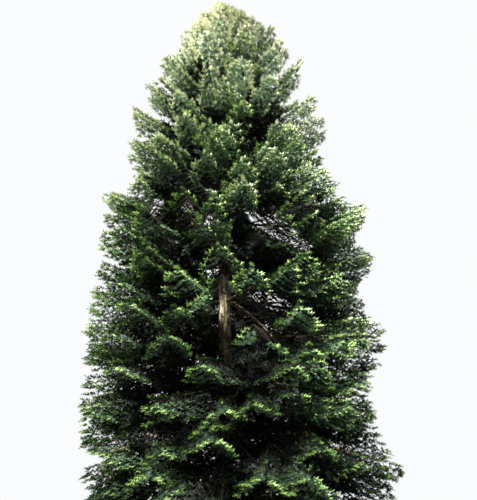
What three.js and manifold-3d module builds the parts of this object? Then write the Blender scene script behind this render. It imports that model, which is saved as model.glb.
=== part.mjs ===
// A full-grown Nordmann fir, open grown in a park, in millimetres with +Z up.
// The origin is the centre of the trunk's flat cut at ground level. The side that faces -Y is the front.
import * as THREE from "three";
import { mergeVertices } from "three/addons/utils/BufferGeometryUtils.js";
import Module from "manifold-3d";

const wasm = await Module();
wasm.setup();

// Driving sizes of the whole tree.
const HEIGHT = 22000;
const CROWN_RADIUS = 5400;
const CROWN_TOP = 21600; // the side boughs end here, below the tip of the leader
const CROWN_SHOULDER = 10500; // from here down the crown is full width
const CROWN_BLUNTNESS = 0.47; // power of its outline: 1 is a straight cone, 0 a cylinder
const WAIST_HEIGHT = 14300; // a shallow waist between the old lower crown and the younger upper one
const WAIST_SPREAD = 900;
const WAIST_DEPTH = 0.2;
const OPEN_SIDE = 0.07; // the +X side stands freer and reaches this much further, and the other side less
const BREAST_RADIUS = 320;
const BREAST_HEIGHT = 1300;
const GROUND_GAP = 120; // the lowest needles stay this far above the ground
const SEED = 71;

// Trunk.
const TRUNK_TIP_RADIUS = 14;
const TRUNK_TAPER = 0.9;
const FLARE_RADIUS = 190;
const FLARE_HEIGHT = 520;
const FLARE_LOBES = 6;
const FLARE_LOBE_DEPTH = 0.13;
const TRUNK_LEAN = -0.012; // sideways run for each unit of height
const TRUNK_SWAY = 95;
const TRUNK_SIDES = 12;
const TRUNK_RINGS = [0, 130, 330, 650, 1300, 3000, 5600, 8400, 11200, 14000, 16800, 19400, 21200];

// Tiers of boughs, from the lowest to the highest.
const LOWEST_TIP = 950;
const HIGHEST_TIP = 21350;
const TIER_COUNT = 12;
const BOUGHS_IN_TIER = [4, 4, 4, 4, 4, 4, 4, 3, 3, 3, 3, 3];
const FORKS_IN_TIER = [2, 2, 3, 3, 3, 3, 3, 3, 3, 2, 2, 2]; // outer twigs on each side of a bough
const BARE_BOUGH_TIERS = 4; // tiers whose boughs show bare next to the trunk
const BARE_SHARE = 0.36; // of such a bough's reach
const LOWEST_SLOPE = -19; // degrees, from the trunk to the tip
const MIDDLE_SLOPE = 2;
const HIGHEST_SLOPE = 66;
const STEEPENING = 2.2; // power by which the slopes rise from the middle tiers to the highest
const LOW_ARCH = 0.07; // rise of the middle of a bough above its straight line, for each unit of reach
const HIGH_ARCH = -0.05;
const TIP_UPTURN = 0.05;
const TURN_PER_TIER = 137.5; // degrees between the first boughs of two tiers
const AZIMUTH_JITTER = 0.12; // of a bough's sector
const REACH_JITTER = 0.07;

// The front of the trunk shows through a gap between these heights.
const GAP_AZIMUTH = -90;
const GAP_HALF_WIDTH = 24;
const GAP_LOW = 5200;
const GAP_HIGH = 9200;

// Limbs.
const BOUGH_RADIUS = 66; // at the trunk, on a bough that reaches the full crown radius
const BOUGH_TIP_RADIUS = 12;
const BOUGH_SIDES = 5;
const BOUGH_STEPS = 2;
const JOINT_GAP = 0.3;
const SPACE_MARGIN = 35;
const SMALLEST_DETAIL = 6; // what stands out less than this is smoothed away where limbs are fused

// Forks: the outer twigs of a bough, which carry its mass of foliage to the crown's outline.
const FORK_SPREAD = 0.86; // of half the bough's sector, from its middle to the outermost tip
const FORK_LEVEL = 0.12; // mean rise of the forks' tips, of the height between tiers
const TOP_FORK_LEVEL = -0.3; // the same in the highest tier
const FORK_REACH_LIMIT = 1.15; // of its bough's reach
const FORK_LIFT = 0.25; // a fork's tip lies this far above or below that
const FORK_LIFT_JITTER = 0.1;
const FORK_SIZE = 0.62; // thickness of a fork, of its bough's
const FORK_START = 0.38; // of the bough's reach, where the outermost fork leaves it
const HIGH_FORK_START = 0.14; // the same on boughs that carry foliage from the trunk
const FORK_STAGGER = 0.05; // the next forks leave this much further out

// Fronds: flat sprays of needles side by side along a twig, with a raised middle line and drooping sides.
const MAIN_FROND_TEETH = [4, 4, 4, 4, 5, 5, 5, 5, 4, 4, 4, 3]; // sprays on each side of a bough, by tier
const FORK_TEETH = [4, 4, 4, 4, 4, 4, 3, 3, 3, 3, 3, 3];
const MAIN_FROND_START = 0.15; // of the bough's length, bare before the first spray
const FORK_FROND_START = 0.27;
const SPRAY_REACH = 0.18; // length of the longest side spray, of the bough's length
const SPRAY_ANGLE = 52; // degrees between a side spray and its twig
const SPRAY_DROOP = 0.68; // fall for each unit of a side spray's length
const SPRAY_JITTER = 0.14;
const SPRAY_ROOM = 0.75; // a side spray is at most this long for each unit of space to the next twig
const SPRAY_TRIES = [1, 0.8, 0.6, 0.4, 0.25, 0.12];
const RIDGE_HEIGHT = 1.3; // of a twig's radius, above its line
const EDGE_DEPTH = 0.6; // of a twig's radius, below its line
const FROND_ROLL = 0.22;

const radians = THREE.MathUtils.degToRad;
const { lerp, clamp } = THREE.MathUtils;

// A repeatable fraction from 0 to 1 for one numbered choice about one numbered thing.
function chance(thing, choice) {
  let mix = Math.imul(thing + 1, 0x9e3779b1) ^ Math.imul(choice + 1, 0x85ebca6b) ^ SEED;
  mix = Math.imul(mix ^ (mix >>> 15), 0x2c1b3c6d);
  mix = Math.imul(mix ^ (mix >>> 12), 0x297a2d39);
  mix ^= mix >>> 15;
  return (mix >>> 0) / 4294967296;
}

function spreadChance(thing, choice, size) {
  return (chance(thing, choice) * 2 - 1) * size;
}

// The trunk's centre line and radius at a height.
function trunkCentre(height) {
  const share = height / HEIGHT;
  return [TRUNK_LEAN * height + TRUNK_SWAY * Math.sin(share * 5), TRUNK_SWAY * Math.sin(share * 4) * 0.6];
}

function trunkRadius(height) {
  const breast = (1 - BREAST_HEIGHT / HEIGHT) ** TRUNK_TAPER;
  const stem = (BREAST_RADIUS - TRUNK_TIP_RADIUS) / breast;
  const flare = FLARE_RADIUS * Math.exp(-height / FLARE_HEIGHT);
  return TRUNK_TIP_RADIUS + stem * Math.max(0, 1 - height / HEIGHT) ** TRUNK_TAPER + flare;
}

function crownRadius(height) {
  const fullness = clamp((CROWN_TOP - height) / (CROWN_TOP - CROWN_SHOULDER), 0, 1) ** CROWN_BLUNTNESS;
  const waist = WAIST_DEPTH * Math.exp(-(((height - WAIST_HEIGHT) / WAIST_SPREAD) ** 2));
  return CROWN_RADIUS * fullness * (1 - waist);
}

// One tier's level surface: its height at a distance from the trunk's centre.
function tierOf(index) {
  const share = index / (TIER_COUNT - 1);
  const tipHeight = lerp(LOWEST_TIP, HIGHEST_TIP, share);
  const reach = crownRadius(tipHeight);
  const slope =
    share < 0.5
      ? lerp(LOWEST_SLOPE, MIDDLE_SLOPE, share * 2)
      : lerp(MIDDLE_SLOPE, HIGHEST_SLOPE, (share * 2 - 1) ** STEEPENING);
  const rise = Math.tan(radians(slope)) * reach;
  return { index, reach, tipHeight, rise, arch: lerp(LOW_ARCH, HIGH_ARCH, share) * reach };
}

function tierHeight(tier, distance) {
  const share = distance / tier.reach;
  const arched = tier.arch * 4 * share * (1 - share);
  return tier.tipHeight + tier.rise * (share - 1) + arched + TIP_UPTURN * tier.reach * (share ** 4 - 1);
}

function crownPoint(distance, azimuth, height) {
  const [x, y] = trunkCentre(height);
  return new THREE.Vector3(x + distance * Math.cos(azimuth), y + distance * Math.sin(azimuth), height);
}

// The line of a bough from the trunk's centre to its tip, in the tier's surface.
class BoughLine extends THREE.Curve {
  constructor(tier, azimuth, reach, sway) {
    super();
    Object.assign(this, { tier, azimuth, reach, sway });
  }
  getPoint(share) {
    const distance = this.reach * share;
    const azimuth = this.azimuth + this.sway * Math.sin(Math.PI * share);
    return crownPoint(distance, azimuth, tierHeight(this.tier, distance));
  }
}

// The line of a fork from its bough to its own tip, straight from above and lifted or lowered outwards.
class ForkLine extends THREE.Curve {
  constructor(bough, leave, azimuth, reach, lift) {
    super();
    const root = bough.line.getPoint(leave);
    const tip = crownPoint(reach, azimuth, tierHeight(bough.tier, reach));
    Object.assign(this, { tier: bough.tier, root, tip, lift, leave });
  }
  getPoint(share) {
    const point = this.root.clone().lerp(this.tip, share);
    const [x, y] = trunkCentre(point.z);
    const distance = Math.hypot(point.x - x, point.y - y);
    point.z = tierHeight(this.tier, distance) + this.lift * share * (2 - share);
    return point;
  }
}

// Turns a bough aside where the front of the trunk shows.
function besideGap(azimuth, height) {
  const middle = radians(GAP_AZIMUTH);
  const half = radians(GAP_HALF_WIDTH);
  const off = Math.atan2(Math.sin(azimuth - middle), Math.cos(azimuth - middle));
  const inGap = height > GAP_LOW && height < GAP_HIGH && Math.abs(off) < half;
  return inGap ? azimuth - off + (off < 0 ? -half : half) : azimuth;
}

// Every main bough with its line and its sector.
function growBoughs() {
  const boughs = [];
  for (const tier of tiers) {
    const count = BOUGHS_IN_TIER[tier.index];
    const sector = (Math.PI * 2) / count;
    const azimuths = [];
    for (let i = 0; i < count; i++) {
      const jitter = spreadChance(boughs.length + i, 1, AZIMUTH_JITTER);
      const even = radians(TURN_PER_TIER) * tier.index + sector * (i + jitter);
      azimuths.push(besideGap(even, tierHeight(tier, tier.reach / 2)));
    }
    for (let i = 0; i < count; i++) {
      const number = boughs.length;
      const before = azimuths[(i + count - 1) % count] - (i === 0 ? Math.PI * 2 : 0);
      const after = azimuths[(i + 1) % count] + (i === count - 1 ? Math.PI * 2 : 0);
      const azimuth = azimuths[i];
      const reach = reachAt(tier.tipHeight, azimuth, number);
      const line = new BoughLine(tier, azimuth, reach, spreadChance(number, 3, 0.06));
      boughs.push({
        number,
        tier,
        place: i,
        azimuth,
        reach,
        low: (before + azimuth) / 2,
        high: (azimuth + after) / 2,
        line,
        length: line.getLength(),
      });
    }
  }
  return boughs;
}

// How far a limb reaches that ends at a height, in a direction.
function reachAt(height, azimuth, thing) {
  const side = 1 + OPEN_SIDE * Math.cos(azimuth);
  return crownRadius(height) * side * (1 + spreadChance(thing, 2, REACH_JITTER));
}

// The lines of a bough's forks, in pairs from the outermost inwards.
function forkLines(bough) {
  const pairs = FORKS_IN_TIER[bough.tier.index];
  const first = bough.tier.index < BARE_BOUGH_TIERS ? FORK_START : HIGH_FORK_START;
  const tierGap = (HIGHEST_TIP - LOWEST_TIP) / (TIER_COUNT - 1);
  const level = bough.tier.index === TIER_COUNT - 1 ? TOP_FORK_LEVEL : FORK_LEVEL;
  const lines = [];
  for (let i = 0; i < pairs; i++) {
    for (const hand of [-1, 1]) {
      const id = bough.number * 8 + lines.length;
      const half = hand < 0 ? bough.azimuth - bough.low : bough.high - bough.azimuth;
      const azimuth = bough.azimuth + (hand * half * FORK_SPREAD * (pairs - i)) / pairs;
      const up = (i % 2 === 0) === (hand > 0) ? 1 : -1;
      const lift = (level + up * FORK_LIFT + spreadChance(id, 4, FORK_LIFT_JITTER)) * tierGap;
      const leave = first + FORK_STAGGER * (i + (hand > 0 ? 0.4 : 0));
      const free = reachAt(bough.tier.tipHeight + lift, azimuth, id + 1000);
      const reach = Math.min(free, bough.reach * FORK_REACH_LIMIT);
      lines.push(new ForkLine(bough, leave, azimuth, reach, lift));
    }
  }
  return lines;
}

// Whether a point lies in the bough's own slice of its tier, clear of the trunk and the ground.
function inSpace(bough, point) {
  const [x, y] = trunkCentre(point.z);
  const distance = Math.hypot(point.x - x, point.y - y);
  const below = bough.tier.index > 0 ? tiers[bough.tier.index - 1] : null;
  const above = bough.tier.index < TIER_COUNT - 1 ? tiers[bough.tier.index + 1] : null;
  const own = tierHeight(bough.tier, distance);
  const floor = below ? (own + tierHeight(below, distance)) / 2 + SPACE_MARGIN : GROUND_GAP;
  const roof = above ? (own + tierHeight(above, distance)) / 2 - SPACE_MARGIN : HEIGHT;
  const middle = (bough.low + bough.high) / 2;
  const azimuth = Math.atan2(point.y - y, point.x - x) - middle;
  const off = Math.abs(Math.atan2(Math.sin(azimuth), Math.cos(azimuth)));
  const halfSector = (bough.high - bough.low) / 2;
  const sideways = off > Math.PI / 2 ? 0 : distance * Math.sin(Math.max(0, halfSector - off));
  const clearOfTrunk = distance > trunkRadius(point.z) + SPACE_MARGIN;
  const inSector = off < halfSector && (halfSector - off > 1 || sideways > SPACE_MARGIN);
  return clearOfTrunk && inSector && point.z > Math.max(floor, GROUND_GAP) && point.z < roof;
}

// A closed shape as a solid, with its faces turned outwards.
function solidOf(shape) {
  shape.deleteAttribute("normal");
  shape.deleteAttribute("uv");
  const merged = mergeVertices(shape, 1e-3);
  const places = merged.attributes.position;
  const corners = merged.index.array;
  const faces = [];
  let volume = 0;
  const [p, q, r] = [new THREE.Vector3(), new THREE.Vector3(), new THREE.Vector3()];
  for (let i = 0; i < corners.length; i += 3) {
    const [a, b, c] = corners.slice(i, i + 3);
    if (a !== b && b !== c && a !== c) {
      faces.push([a, b, c]);
      p.fromBufferAttribute(places, a);
      q.fromBufferAttribute(places, b);
      r.fromBufferAttribute(places, c);
      volume += p.dot(q.cross(r));
    }
  }
  const outward = volume > 0 ? faces : faces.map(([a, b, c]) => [a, c, b]);
  return new wasm.Manifold(
    new wasm.Mesh({
      numProp: 3,
      vertProperties: new Float32Array(places.array),
      triVerts: new Uint32Array(outward.flat()),
    }),
  );
}

function joined(solids) {
  return solids.reduce((whole, next) => whole.add(next));
}

// The largest body of a joined solid, without loose scraps or sealed hollows.
function mainBody(solid) {
  const bodies = solid.decompose();
  return bodies.reduce((best, next) => (next.volume() > best.volume() ? next : best));
}

function meshOf(name, solid, material) {
  const made = solid.getMesh();
  const shape = new THREE.BufferGeometry();
  const places = new Float32Array(made.numVert * 3);
  for (let i = 0; i < made.numVert; i++) {
    places.set(made.vertProperties.subarray(i * made.numProp, i * made.numProp + 3), i * 3);
  }
  shape.setAttribute("position", new THREE.BufferAttribute(places, 3));
  shape.setIndex(new THREE.BufferAttribute(new Uint32Array(made.triVerts), 1));
  shape.computeVertexNormals();
  const mesh = new THREE.Mesh(shape, material);
  mesh.name = name;
  return mesh;
}

// The trunk, its skin moved outwards by a clearance when it serves to cut limbs clear of it.
function trunkSolid(clearance) {
  const profile = [new THREE.Vector2(0, 0)];
  for (const height of TRUNK_RINGS) {
    profile.push(new THREE.Vector2(trunkRadius(height) + clearance, height));
  }
  profile.push(new THREE.Vector2(TRUNK_TIP_RADIUS * 0.6 + clearance, HEIGHT));
  profile.push(new THREE.Vector2(0, HEIGHT));
  const shape = new THREE.LatheGeometry(profile, TRUNK_SIDES);
  shape.rotateX(Math.PI / 2);
  const place = shape.attributes.position;
  for (let i = 0; i < place.count; i++) {
    const height = place.getZ(i);
    const around = Math.atan2(place.getY(i), place.getX(i));
    const lobe = 1 + FLARE_LOBE_DEPTH * Math.exp(-height / FLARE_HEIGHT) * Math.cos(FLARE_LOBES * around + 1);
    const [x, y] = trunkCentre(height);
    place.setXYZ(i, x + place.getX(i) * lobe, y + place.getY(i) * lobe, height);
  }
  return solidOf(shape);
}

// The bare part of a bough: a tapering limb along the first part of its line.
function boughSolid(bough) {
  const shape = new THREE.CylinderGeometry(1, 1, 1, BOUGH_SIDES, BOUGH_STEPS);
  const place = shape.attributes.position;
  for (let i = 0; i < place.count; i++) {
    const share = BARE_SHARE * (place.getY(i) + 0.5);
    const radius = boughRadius(bough, share);
    const point = bough.line.getPoint(share);
    const ahead = bough.line.getTangent(share);
    const side = sideOf(ahead);
    point.addScaledVector(side, place.getX(i) * radius);
    point.addScaledVector(side.cross(ahead), place.getZ(i) * radius);
    place.setXYZ(i, point.x, point.y, point.z);
  }
  return solidOf(shape);
}

// The bough's radius where its line has covered a share of its reach.
function boughRadius(bough, share) {
  const size = clamp(bough.reach / CROWN_RADIUS, 0.2, 1);
  return lerp(BOUGH_RADIUS * size, BOUGH_TIP_RADIUS, share ** 0.8);
}

// The level direction to the left of a direction.
function sideOf(ahead) {
  return new THREE.Vector3(-ahead.y, ahead.x, 0).normalize();
}

// A three-sided twig along a line, from one share of it to its end. Its outer part carries sprays, which make
// it a toothed blade with a ridge. Each spray is cut back until it keeps to the bough's space.
function frondSolid(bough, { line, from, bare, teeth, rootRadius, neighbours, id }) {
  const roll = spreadChance(id, 6, FROND_ROLL);
  const places = [];
  const put = (point) => places.push(point) - 1;
  const stations = [from];
  for (let i = 0; i <= teeth; i++) {
    stations.push(lerp(lerp(from, 1, bare), 0.94, i / teeth));
  }
  const rings = stations.map((share, i) => {
    const radius = lerp(rootRadius, BOUGH_TIP_RADIUS, (share - from) / (1 - from));
    const point = line.getPoint(share);
    const ahead = line.getTangent(share);
    const side = sideOf(ahead);
    const up = new THREE.Vector3().crossVectors(ahead, side);
    side.applyAxisAngle(ahead, roll);
    const ridge = put(point.clone().addScaledVector(up, radius * RIDGE_HEIGHT));
    const low = point.clone().addScaledVector(up, -radius * EDGE_DEPTH);
    const edges = [radius, -radius].map((aside) => put(low.clone().addScaledVector(side, aside)));
    return { point, ahead, side, ridge, edges };
  });
  const [first] = rings;
  const faces = [[first.ridge, first.edges[1], first.edges[0]]];
  for (let i = 0; i < rings.length - 1; i++) {
    const [now, next] = [rings[i], rings[i + 1]];
    faces.push([now.edges[0], now.edges[1], next.edges[1]], [now.edges[0], next.edges[1], next.edges[0]]);
    for (const which of [0, 1]) {
      const turn = ([a, b, c]) => (which === 0 ? [a, b, c] : [a, c, b]);
      if (i === 0) {
        faces.push(turn([now.ridge, now.edges[which], next.edges[which]]));
        faces.push(turn([now.ridge, next.edges[which], next.ridge]));
        continue;
      }
      const fullness = Math.sin(Math.PI * (0.08 + (0.78 * (i - 0.5)) / teeth));
      const jitter = spreadChance(id, 10 + i * 2 + which, SPRAY_JITTER);
      const free = bough.length * SPRAY_REACH * fullness * (1 + jitter);
      const room = Math.min(...neighbours.map((point) => point.distanceTo(next.point)));
      const long = Math.max(Math.min(free, room * SPRAY_ROOM), free / 4);
      const tip = put(sprayTip(bough, now, next, which === 0 ? 1 : -1, long));
      faces.push(turn([now.ridge, now.edges[which], tip]));
      faces.push(turn([now.ridge, tip, next.ridge]));
      faces.push(turn([next.ridge, tip, next.edges[which]]));
      faces.push(turn([now.edges[which], next.edges[which], tip]));
    }
  }
  const last = rings[rings.length - 1];
  const end = put(line.getPoint(1));
  faces.push([last.ridge, last.edges[0], end]);
  faces.push([last.ridge, end, last.edges[1]]);
  faces.push([last.edges[0], last.edges[1], end]);
  const shape = new THREE.BufferGeometry().setFromPoints(places);
  shape.setIndex(faces.flat());
  return solidOf(shape);
}

// The tip of the longest spray that keeps to the bough's space, from between two rings of its twig.
function sprayTip(bough, now, next, hand, long) {
  const middle = now.point.clone().lerp(next.point, 0.5);
  const tips = SPRAY_TRIES.map((fit) => {
    const tip = middle.clone().addScaledVector(now.ahead, long * fit * Math.cos(radians(SPRAY_ANGLE)));
    tip.addScaledVector(now.side, hand * long * fit * Math.sin(radians(SPRAY_ANGLE)));
    tip.z -= long * fit * SPRAY_DROOP;
    return tip;
  });
  return tips.find((tip) => inSpace(bough, tip)) ?? tips[tips.length - 1];
}

// One mass of foliage: the bough's outer stem with its frond, and the forks that leave it with theirs.
function massSolid(bough, from, trunkCut) {
  const lines = [bough.line, ...forkLines(bough)];
  const fronds = lines.map((line, i) => {
    const isMain = i === 0;
    return frondSolid(bough, {
      line,
      from: isMain && from > 0 ? from + JOINT_GAP / bough.reach : 0,
      bare: isMain ? MAIN_FROND_START : FORK_FROND_START,
      teeth: (isMain ? MAIN_FROND_TEETH : FORK_TEETH)[bough.tier.index],
      rootRadius: isMain ? boughRadius(bough, from) : boughRadius(bough, line.leave) * FORK_SIZE,
      neighbours: lines.filter((other) => other !== line).flatMap((other) => other.getPoints(16)),
      id: bough.number * 8 + i,
    });
  });
  const whole = joined(fronds).simplify(SMALLEST_DETAIL);
  return mainBody(from > 0 ? whole : whole.subtract(trunkCut));
}

const tiers = Array.from({ length: TIER_COUNT }, (_, index) => tierOf(index));

const bark = new THREE.MeshStandardMaterial({ color: "#8a7f6c", roughness: 0.92, metalness: 0 });
const boughBark = new THREE.MeshStandardMaterial({ color: "#6b5a48", roughness: 0.9, metalness: 0 });
const needles = new THREE.MeshStandardMaterial({ color: "#3c5230", roughness: 0.6, metalness: 0 });

const tree = new THREE.Group();
tree.name = "nordmann_fir";
tree.add(meshOf("trunk", trunkSolid(0), bark));
const trunkCut = trunkSolid(JOINT_GAP);
for (const bough of growBoughs()) {
  const place = `${bough.tier.index + 1}_${bough.place + 1}`;
  const isBare = bough.tier.index < BARE_BOUGH_TIERS;
  if (isBare) {
    tree.add(meshOf(`bough_${place}`, mainBody(boughSolid(bough).subtract(trunkCut)), boughBark));
  }
  tree.add(meshOf(`foliage_${place}`, massSolid(bough, isBare ? BARE_SHARE : 0, trunkCut), needles));
}

export default tree;
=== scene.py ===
# A full-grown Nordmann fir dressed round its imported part: bark, boughs, twigs and needles. Metres, +Z up.
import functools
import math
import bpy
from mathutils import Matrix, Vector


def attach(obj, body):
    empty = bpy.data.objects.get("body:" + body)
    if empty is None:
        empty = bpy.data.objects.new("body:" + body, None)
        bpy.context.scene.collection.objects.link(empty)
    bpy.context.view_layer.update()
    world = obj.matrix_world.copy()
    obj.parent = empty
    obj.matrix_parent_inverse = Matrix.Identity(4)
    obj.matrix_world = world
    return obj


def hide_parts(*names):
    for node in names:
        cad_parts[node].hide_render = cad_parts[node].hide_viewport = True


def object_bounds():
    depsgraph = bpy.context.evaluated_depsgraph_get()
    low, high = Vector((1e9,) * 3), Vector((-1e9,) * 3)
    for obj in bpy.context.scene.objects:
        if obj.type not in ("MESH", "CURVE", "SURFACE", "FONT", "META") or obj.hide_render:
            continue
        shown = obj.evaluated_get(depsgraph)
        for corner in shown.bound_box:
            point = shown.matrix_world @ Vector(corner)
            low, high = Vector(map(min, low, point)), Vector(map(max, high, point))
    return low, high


bl_info = {
    "name": "Nordmann Fir",
    "version": (1, 0, 0),
    "blender": (4, 5, 0),
    "location": "3D Viewport > Sidebar > Fir",
    "description": "Grows the bark, boughs, twigs and needles of a full-grown fir round its packed frame",
    "category": "Add Mesh",
}

from collections import namedtuple
from typing import NamedTuple

import bmesh
import bpy
import numpy as np
from mathutils import Matrix, Vector, noise

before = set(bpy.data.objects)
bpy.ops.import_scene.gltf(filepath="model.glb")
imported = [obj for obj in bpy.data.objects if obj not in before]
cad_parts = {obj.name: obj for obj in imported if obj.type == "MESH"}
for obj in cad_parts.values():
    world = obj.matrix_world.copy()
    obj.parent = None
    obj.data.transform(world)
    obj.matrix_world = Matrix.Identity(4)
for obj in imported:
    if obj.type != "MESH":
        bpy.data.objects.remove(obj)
CAD_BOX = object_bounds()
TREE_HEIGHT = CAD_BOX[1].z
LEADER_GAP = 0.02  # between the highest needles and the tree's height

# The crown's reach in the round: height, then the furthest reach on the -X side and on the +X side.
OUTLINE = np.array((
    (0.0, 4.9, 5.4), (2.6, 4.9, 5.8), (4.9, 5.05, 5.2), (6.7, 5.1, 5.7), (9.0, 4.9, 5.0),
    (9.9, 4.85, 5.5), (10.5, 4.8, 5.5), (10.9, 4.75, 5.1), (12.4, 4.6, 5.5), (13.0, 4.6, 4.6),
    (13.5, 3.8, 4.3), (14.2, 3.7, 4.0), (15.5, 3.8, 4.2), (17.0, 3.4, 4.0), (18.0, 2.9, 3.4),
    (19.0, 2.3, 2.9), (20.0, 1.6, 2.35), (20.8, 1.1, 1.65), (21.4, 0.6, 0.75), (21.75, 0.3, 0.3),
    (22.0, 0.05, 0.05),
))
OUTLINE_JITTER = 0.06
OUTLINE_MARGIN = 0.1
DRAWN_IN = np.linspace(1, 0.3, 22)  # shares of its reach that a limb is tried at, until it keeps inside
DOME_FOOT = 20.4  # above this height nothing stands outside the outline
DOME_SLACK = 0.05

# The crown's edge from the photograph's viewpoint, on the upright plane through the trunk: height, then how
# far the edge lies from the trunk on the -X side and on the +X side.
EDGE = np.array((
    (0.0, 4.9, 5.8), (2.6, 4.9, 6.0), (3.9, 5.0, 5.3), (4.9, 5.05, 5.1), (6.7, 5.1, 5.7), (7.6, 5.1, 5.7),
    (8.1, 5.0, 5.1), (9.0, 4.9, 4.8), (9.9, 4.7, 5.6), (10.4, 4.7, 5.5), (10.9, 4.75, 4.8), (11.9, 4.6, 5.55),
    (12.4, 4.55, 5.5), (12.9, 4.7, 4.5), (13.4, 3.35, 4.5), (13.9, 3.5, 4.05), (15.0, 3.9, 4.0),
    (15.6, 3.65, 4.3), (16.7, 3.6, 4.15), (17.25, 2.75, 3.9), (17.8, 3.05, 3.25), (18.4, 2.25, 3.3),
    (19.0, 2.6, 3.5), (19.5, 1.6, 3.1), (19.8, 1.6, 2.7), (20.75, 1.45, 2.45), (21.05, 1.0, 1.5),
    (21.4, 0.9, 1.3), (21.75, 0.3, 0.7), (22.1, 0.1, 0.25),
))
EDGE_MARGIN = 0.12

# The rule of growth, as in the part's source: driving sizes of the crown.
CROWN_RADIUS = 5.4
CROWN_TOP = 21.6
CROWN_SHOULDER = 10.5
CROWN_BLUNTNESS = 0.47
WAIST_HEIGHT = 14.3
WAIST_SPREAD = 0.9
WAIST_DEPTH = 0.2
OPEN_SIDE = 0.07
GROUND_GAP = 0.12
SEED = 71

# The trunk's taper, flare, lean and sway, as in the source.
BREAST_RADIUS = 0.32
BREAST_HEIGHT = 1.3
TRUNK_TIP_RADIUS = 0.014
TRUNK_TAPER = 0.9
LEADER_RADIUS = 0.0084  # where the bark closes at the leader's tip
FLARE_RADIUS = 0.19
FLARE_HEIGHT = 0.52
FLARE_LOBES = 6
FLARE_LOBE_DEPTH = 0.13
TRUNK_LEAN = -0.012
TRUNK_SWAY = 0.095
SWAY_TURNS = (5, 4)  # radians over the tree's height, across and along
SWAY_ALONG = 0.6  # of the sway across

# Tiers of boughs, as in the source, from the lowest to the highest.
LOWEST_TIP = 0.95
HIGHEST_TIP = 21.35
TIER_COUNT = 12
TIER_GAP = (HIGHEST_TIP - LOWEST_TIP) / (TIER_COUNT - 1)
BOUGHS_IN_TIER = (4, 4, 4, 4, 4, 4, 4, 3, 3, 3, 3, 3)
FORKS_IN_TIER = (2, 2, 3, 3, 3, 3, 3, 3, 3, 2, 2, 2)
BARE_BOUGH_TIERS = 4
LOWEST_SLOPE = -19
MIDDLE_SLOPE = 2
HIGHEST_SLOPE = 66
STEEPENING = 2.2
LOW_ARCH = 0.07
HIGH_ARCH = -0.05
TIP_UPTURN = 0.05
TURN_PER_TIER = 137.5
AZIMUTH_JITTER = 0.12
REACH_JITTER = 0.07
BOUGH_SWAY = 0.06
GAP_AZIMUTH = -90
GAP_HALF_WIDTH = 24
GAP_LOW = 5.2
GAP_HIGH = 9.2

# Limbs and forks, as in the source.
BOUGH_RADIUS = 0.066
BOUGH_TIP_RADIUS = 0.012
BOUGH_TAPER = 0.8
LEAST_BOUGH_SIZE = 0.2
FORK_SPREAD = 0.86
FORK_LEVEL = 0.12
TOP_FORK_LEVEL = -0.3
FORK_REACH_LIMIT = 1.15
FORK_LIFT = 0.25
FORK_LIFT_JITTER = 0.1
FORK_SIZE = 0.62
FORK_START = 0.38
HIGH_FORK_START = 0.14
FORK_STAGGER = 0.05
HAND_STAGGER = 0.4  # of that, between the two forks of a pair
FROND_ROLL = 0.22

# The numbers that chance() takes for each kind of limb: the first, and how many a bough or whorl has.
FORK_THINGS = (0, 8)
FORK_REACH_THING = 1000
FINE_THINGS = (5000, 32)
INNER_THINGS = (9000, 16)
DOME_THINGS = (12000, 16)
PLUME_THINGS = 13000

# Finer growth than the source's: more forks between its own, side twigs on each, and sprays on those.
ALONG = np.linspace(0, 1, 33)  # shares of a limb's line
EVEN_TURN = 0.618  # golden section, which spreads levels evenly
LIMB_ROLL = 0.3
LIMB_TIP_RADIUS = 0.006
LINE_SPAN = 0.06  # half the stretch that gives a limb's direction at a point
FINE_FORKS = (4, 4, 3, 2, 2, 3, 4, 5, 4, 4, 4, 0)  # on each bough of a tier
FINE_FORK_SPREAD = 0.94
FINE_FORK_JITTER = 0.4
FINE_FORK_LIFT = 0.46  # of the height between tiers, above and below the bough
FINE_FORK_LIFT_JITTER = 0.3
FINE_FORK_REACH = (0.74, 0.98)
FINE_FORK_START = (0.12, 0.5)
FINE_FORK_EARLY = 0.5  # the outermost leave their bough this much earlier
FINE_FORK_SIZE = 0.5
FINE_FORK_CLEARANCE = 0.25  # over the lowest needles
FINE_LEAFY_SHARE = 0.62  # of the leafy length on a source fork
DOME_WHORLS = 9
DOME_BRANCHES = 6
DOME_LOWEST_TIP = 19.4
DOME_HIGHEST_TIP = TREE_HEIGHT - 0.12
DOME_TIP_JITTER = 0.12
DOME_TURN_JITTER = 0.25
DOME_REACH = (0.7, 0.95)  # of the outline's
DOME_RISE = 1.1  # for each unit of reach
DOME_LEAST_RISE = 0.55
DOME_BEND = 0.25  # of the rise that comes late
DOME_RADIUS = 0.012
DOME_LEAFY_SHARE = 0.95
DOME_TWIG_SHARE = 0.4  # longest twig, of the leafy length
INNER_LIMBS = 5  # thin shaded limbs from the trunk, for each bough
INNER_REACH = (0.4, 0.8)
INNER_JITTER = 0.4
INNER_CLEARANCE = 0.4
INNER_RADIUS = 0.018
INNER_ZONE = (0.92, 0.4)  # of the crown's reach, up to the shoulder and at the top of the dark inner sprays
INNER_SHOULDER = 11.0
INNER_TOP = 19.3
PLUME_RADIUS = 0.02
MOST_LEAFY = 0.82  # of a limb's length
TWIG_SHARE = 0.5  # longest twig, of the leafy length
BARE_TIP = 0.3  # of a limb, with no shaded twigs
TWIG_FIRST = 0.6  # place of a limb's first pair of side twigs, in shares of the pitch
TWIG_JITTER = 0.3
TWIG_ANGLE = 56  # degrees from its limb
TWIG_ANGLE_SPREAD = 4
FROND_BLUNTNESS = 0.2  # length of the side twigs at the limb's very tip
FROND_TAPER = 0.6  # side twigs lengthen by this for each unit behind the tip
TWIG_CROWDING = 1.25  # above 1, side twigs stand closer together towards the limb's tip
TWIG_SIZES = (0.85, 1.1)
DROOP_SIZES = (0.88, 1.12)
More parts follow.
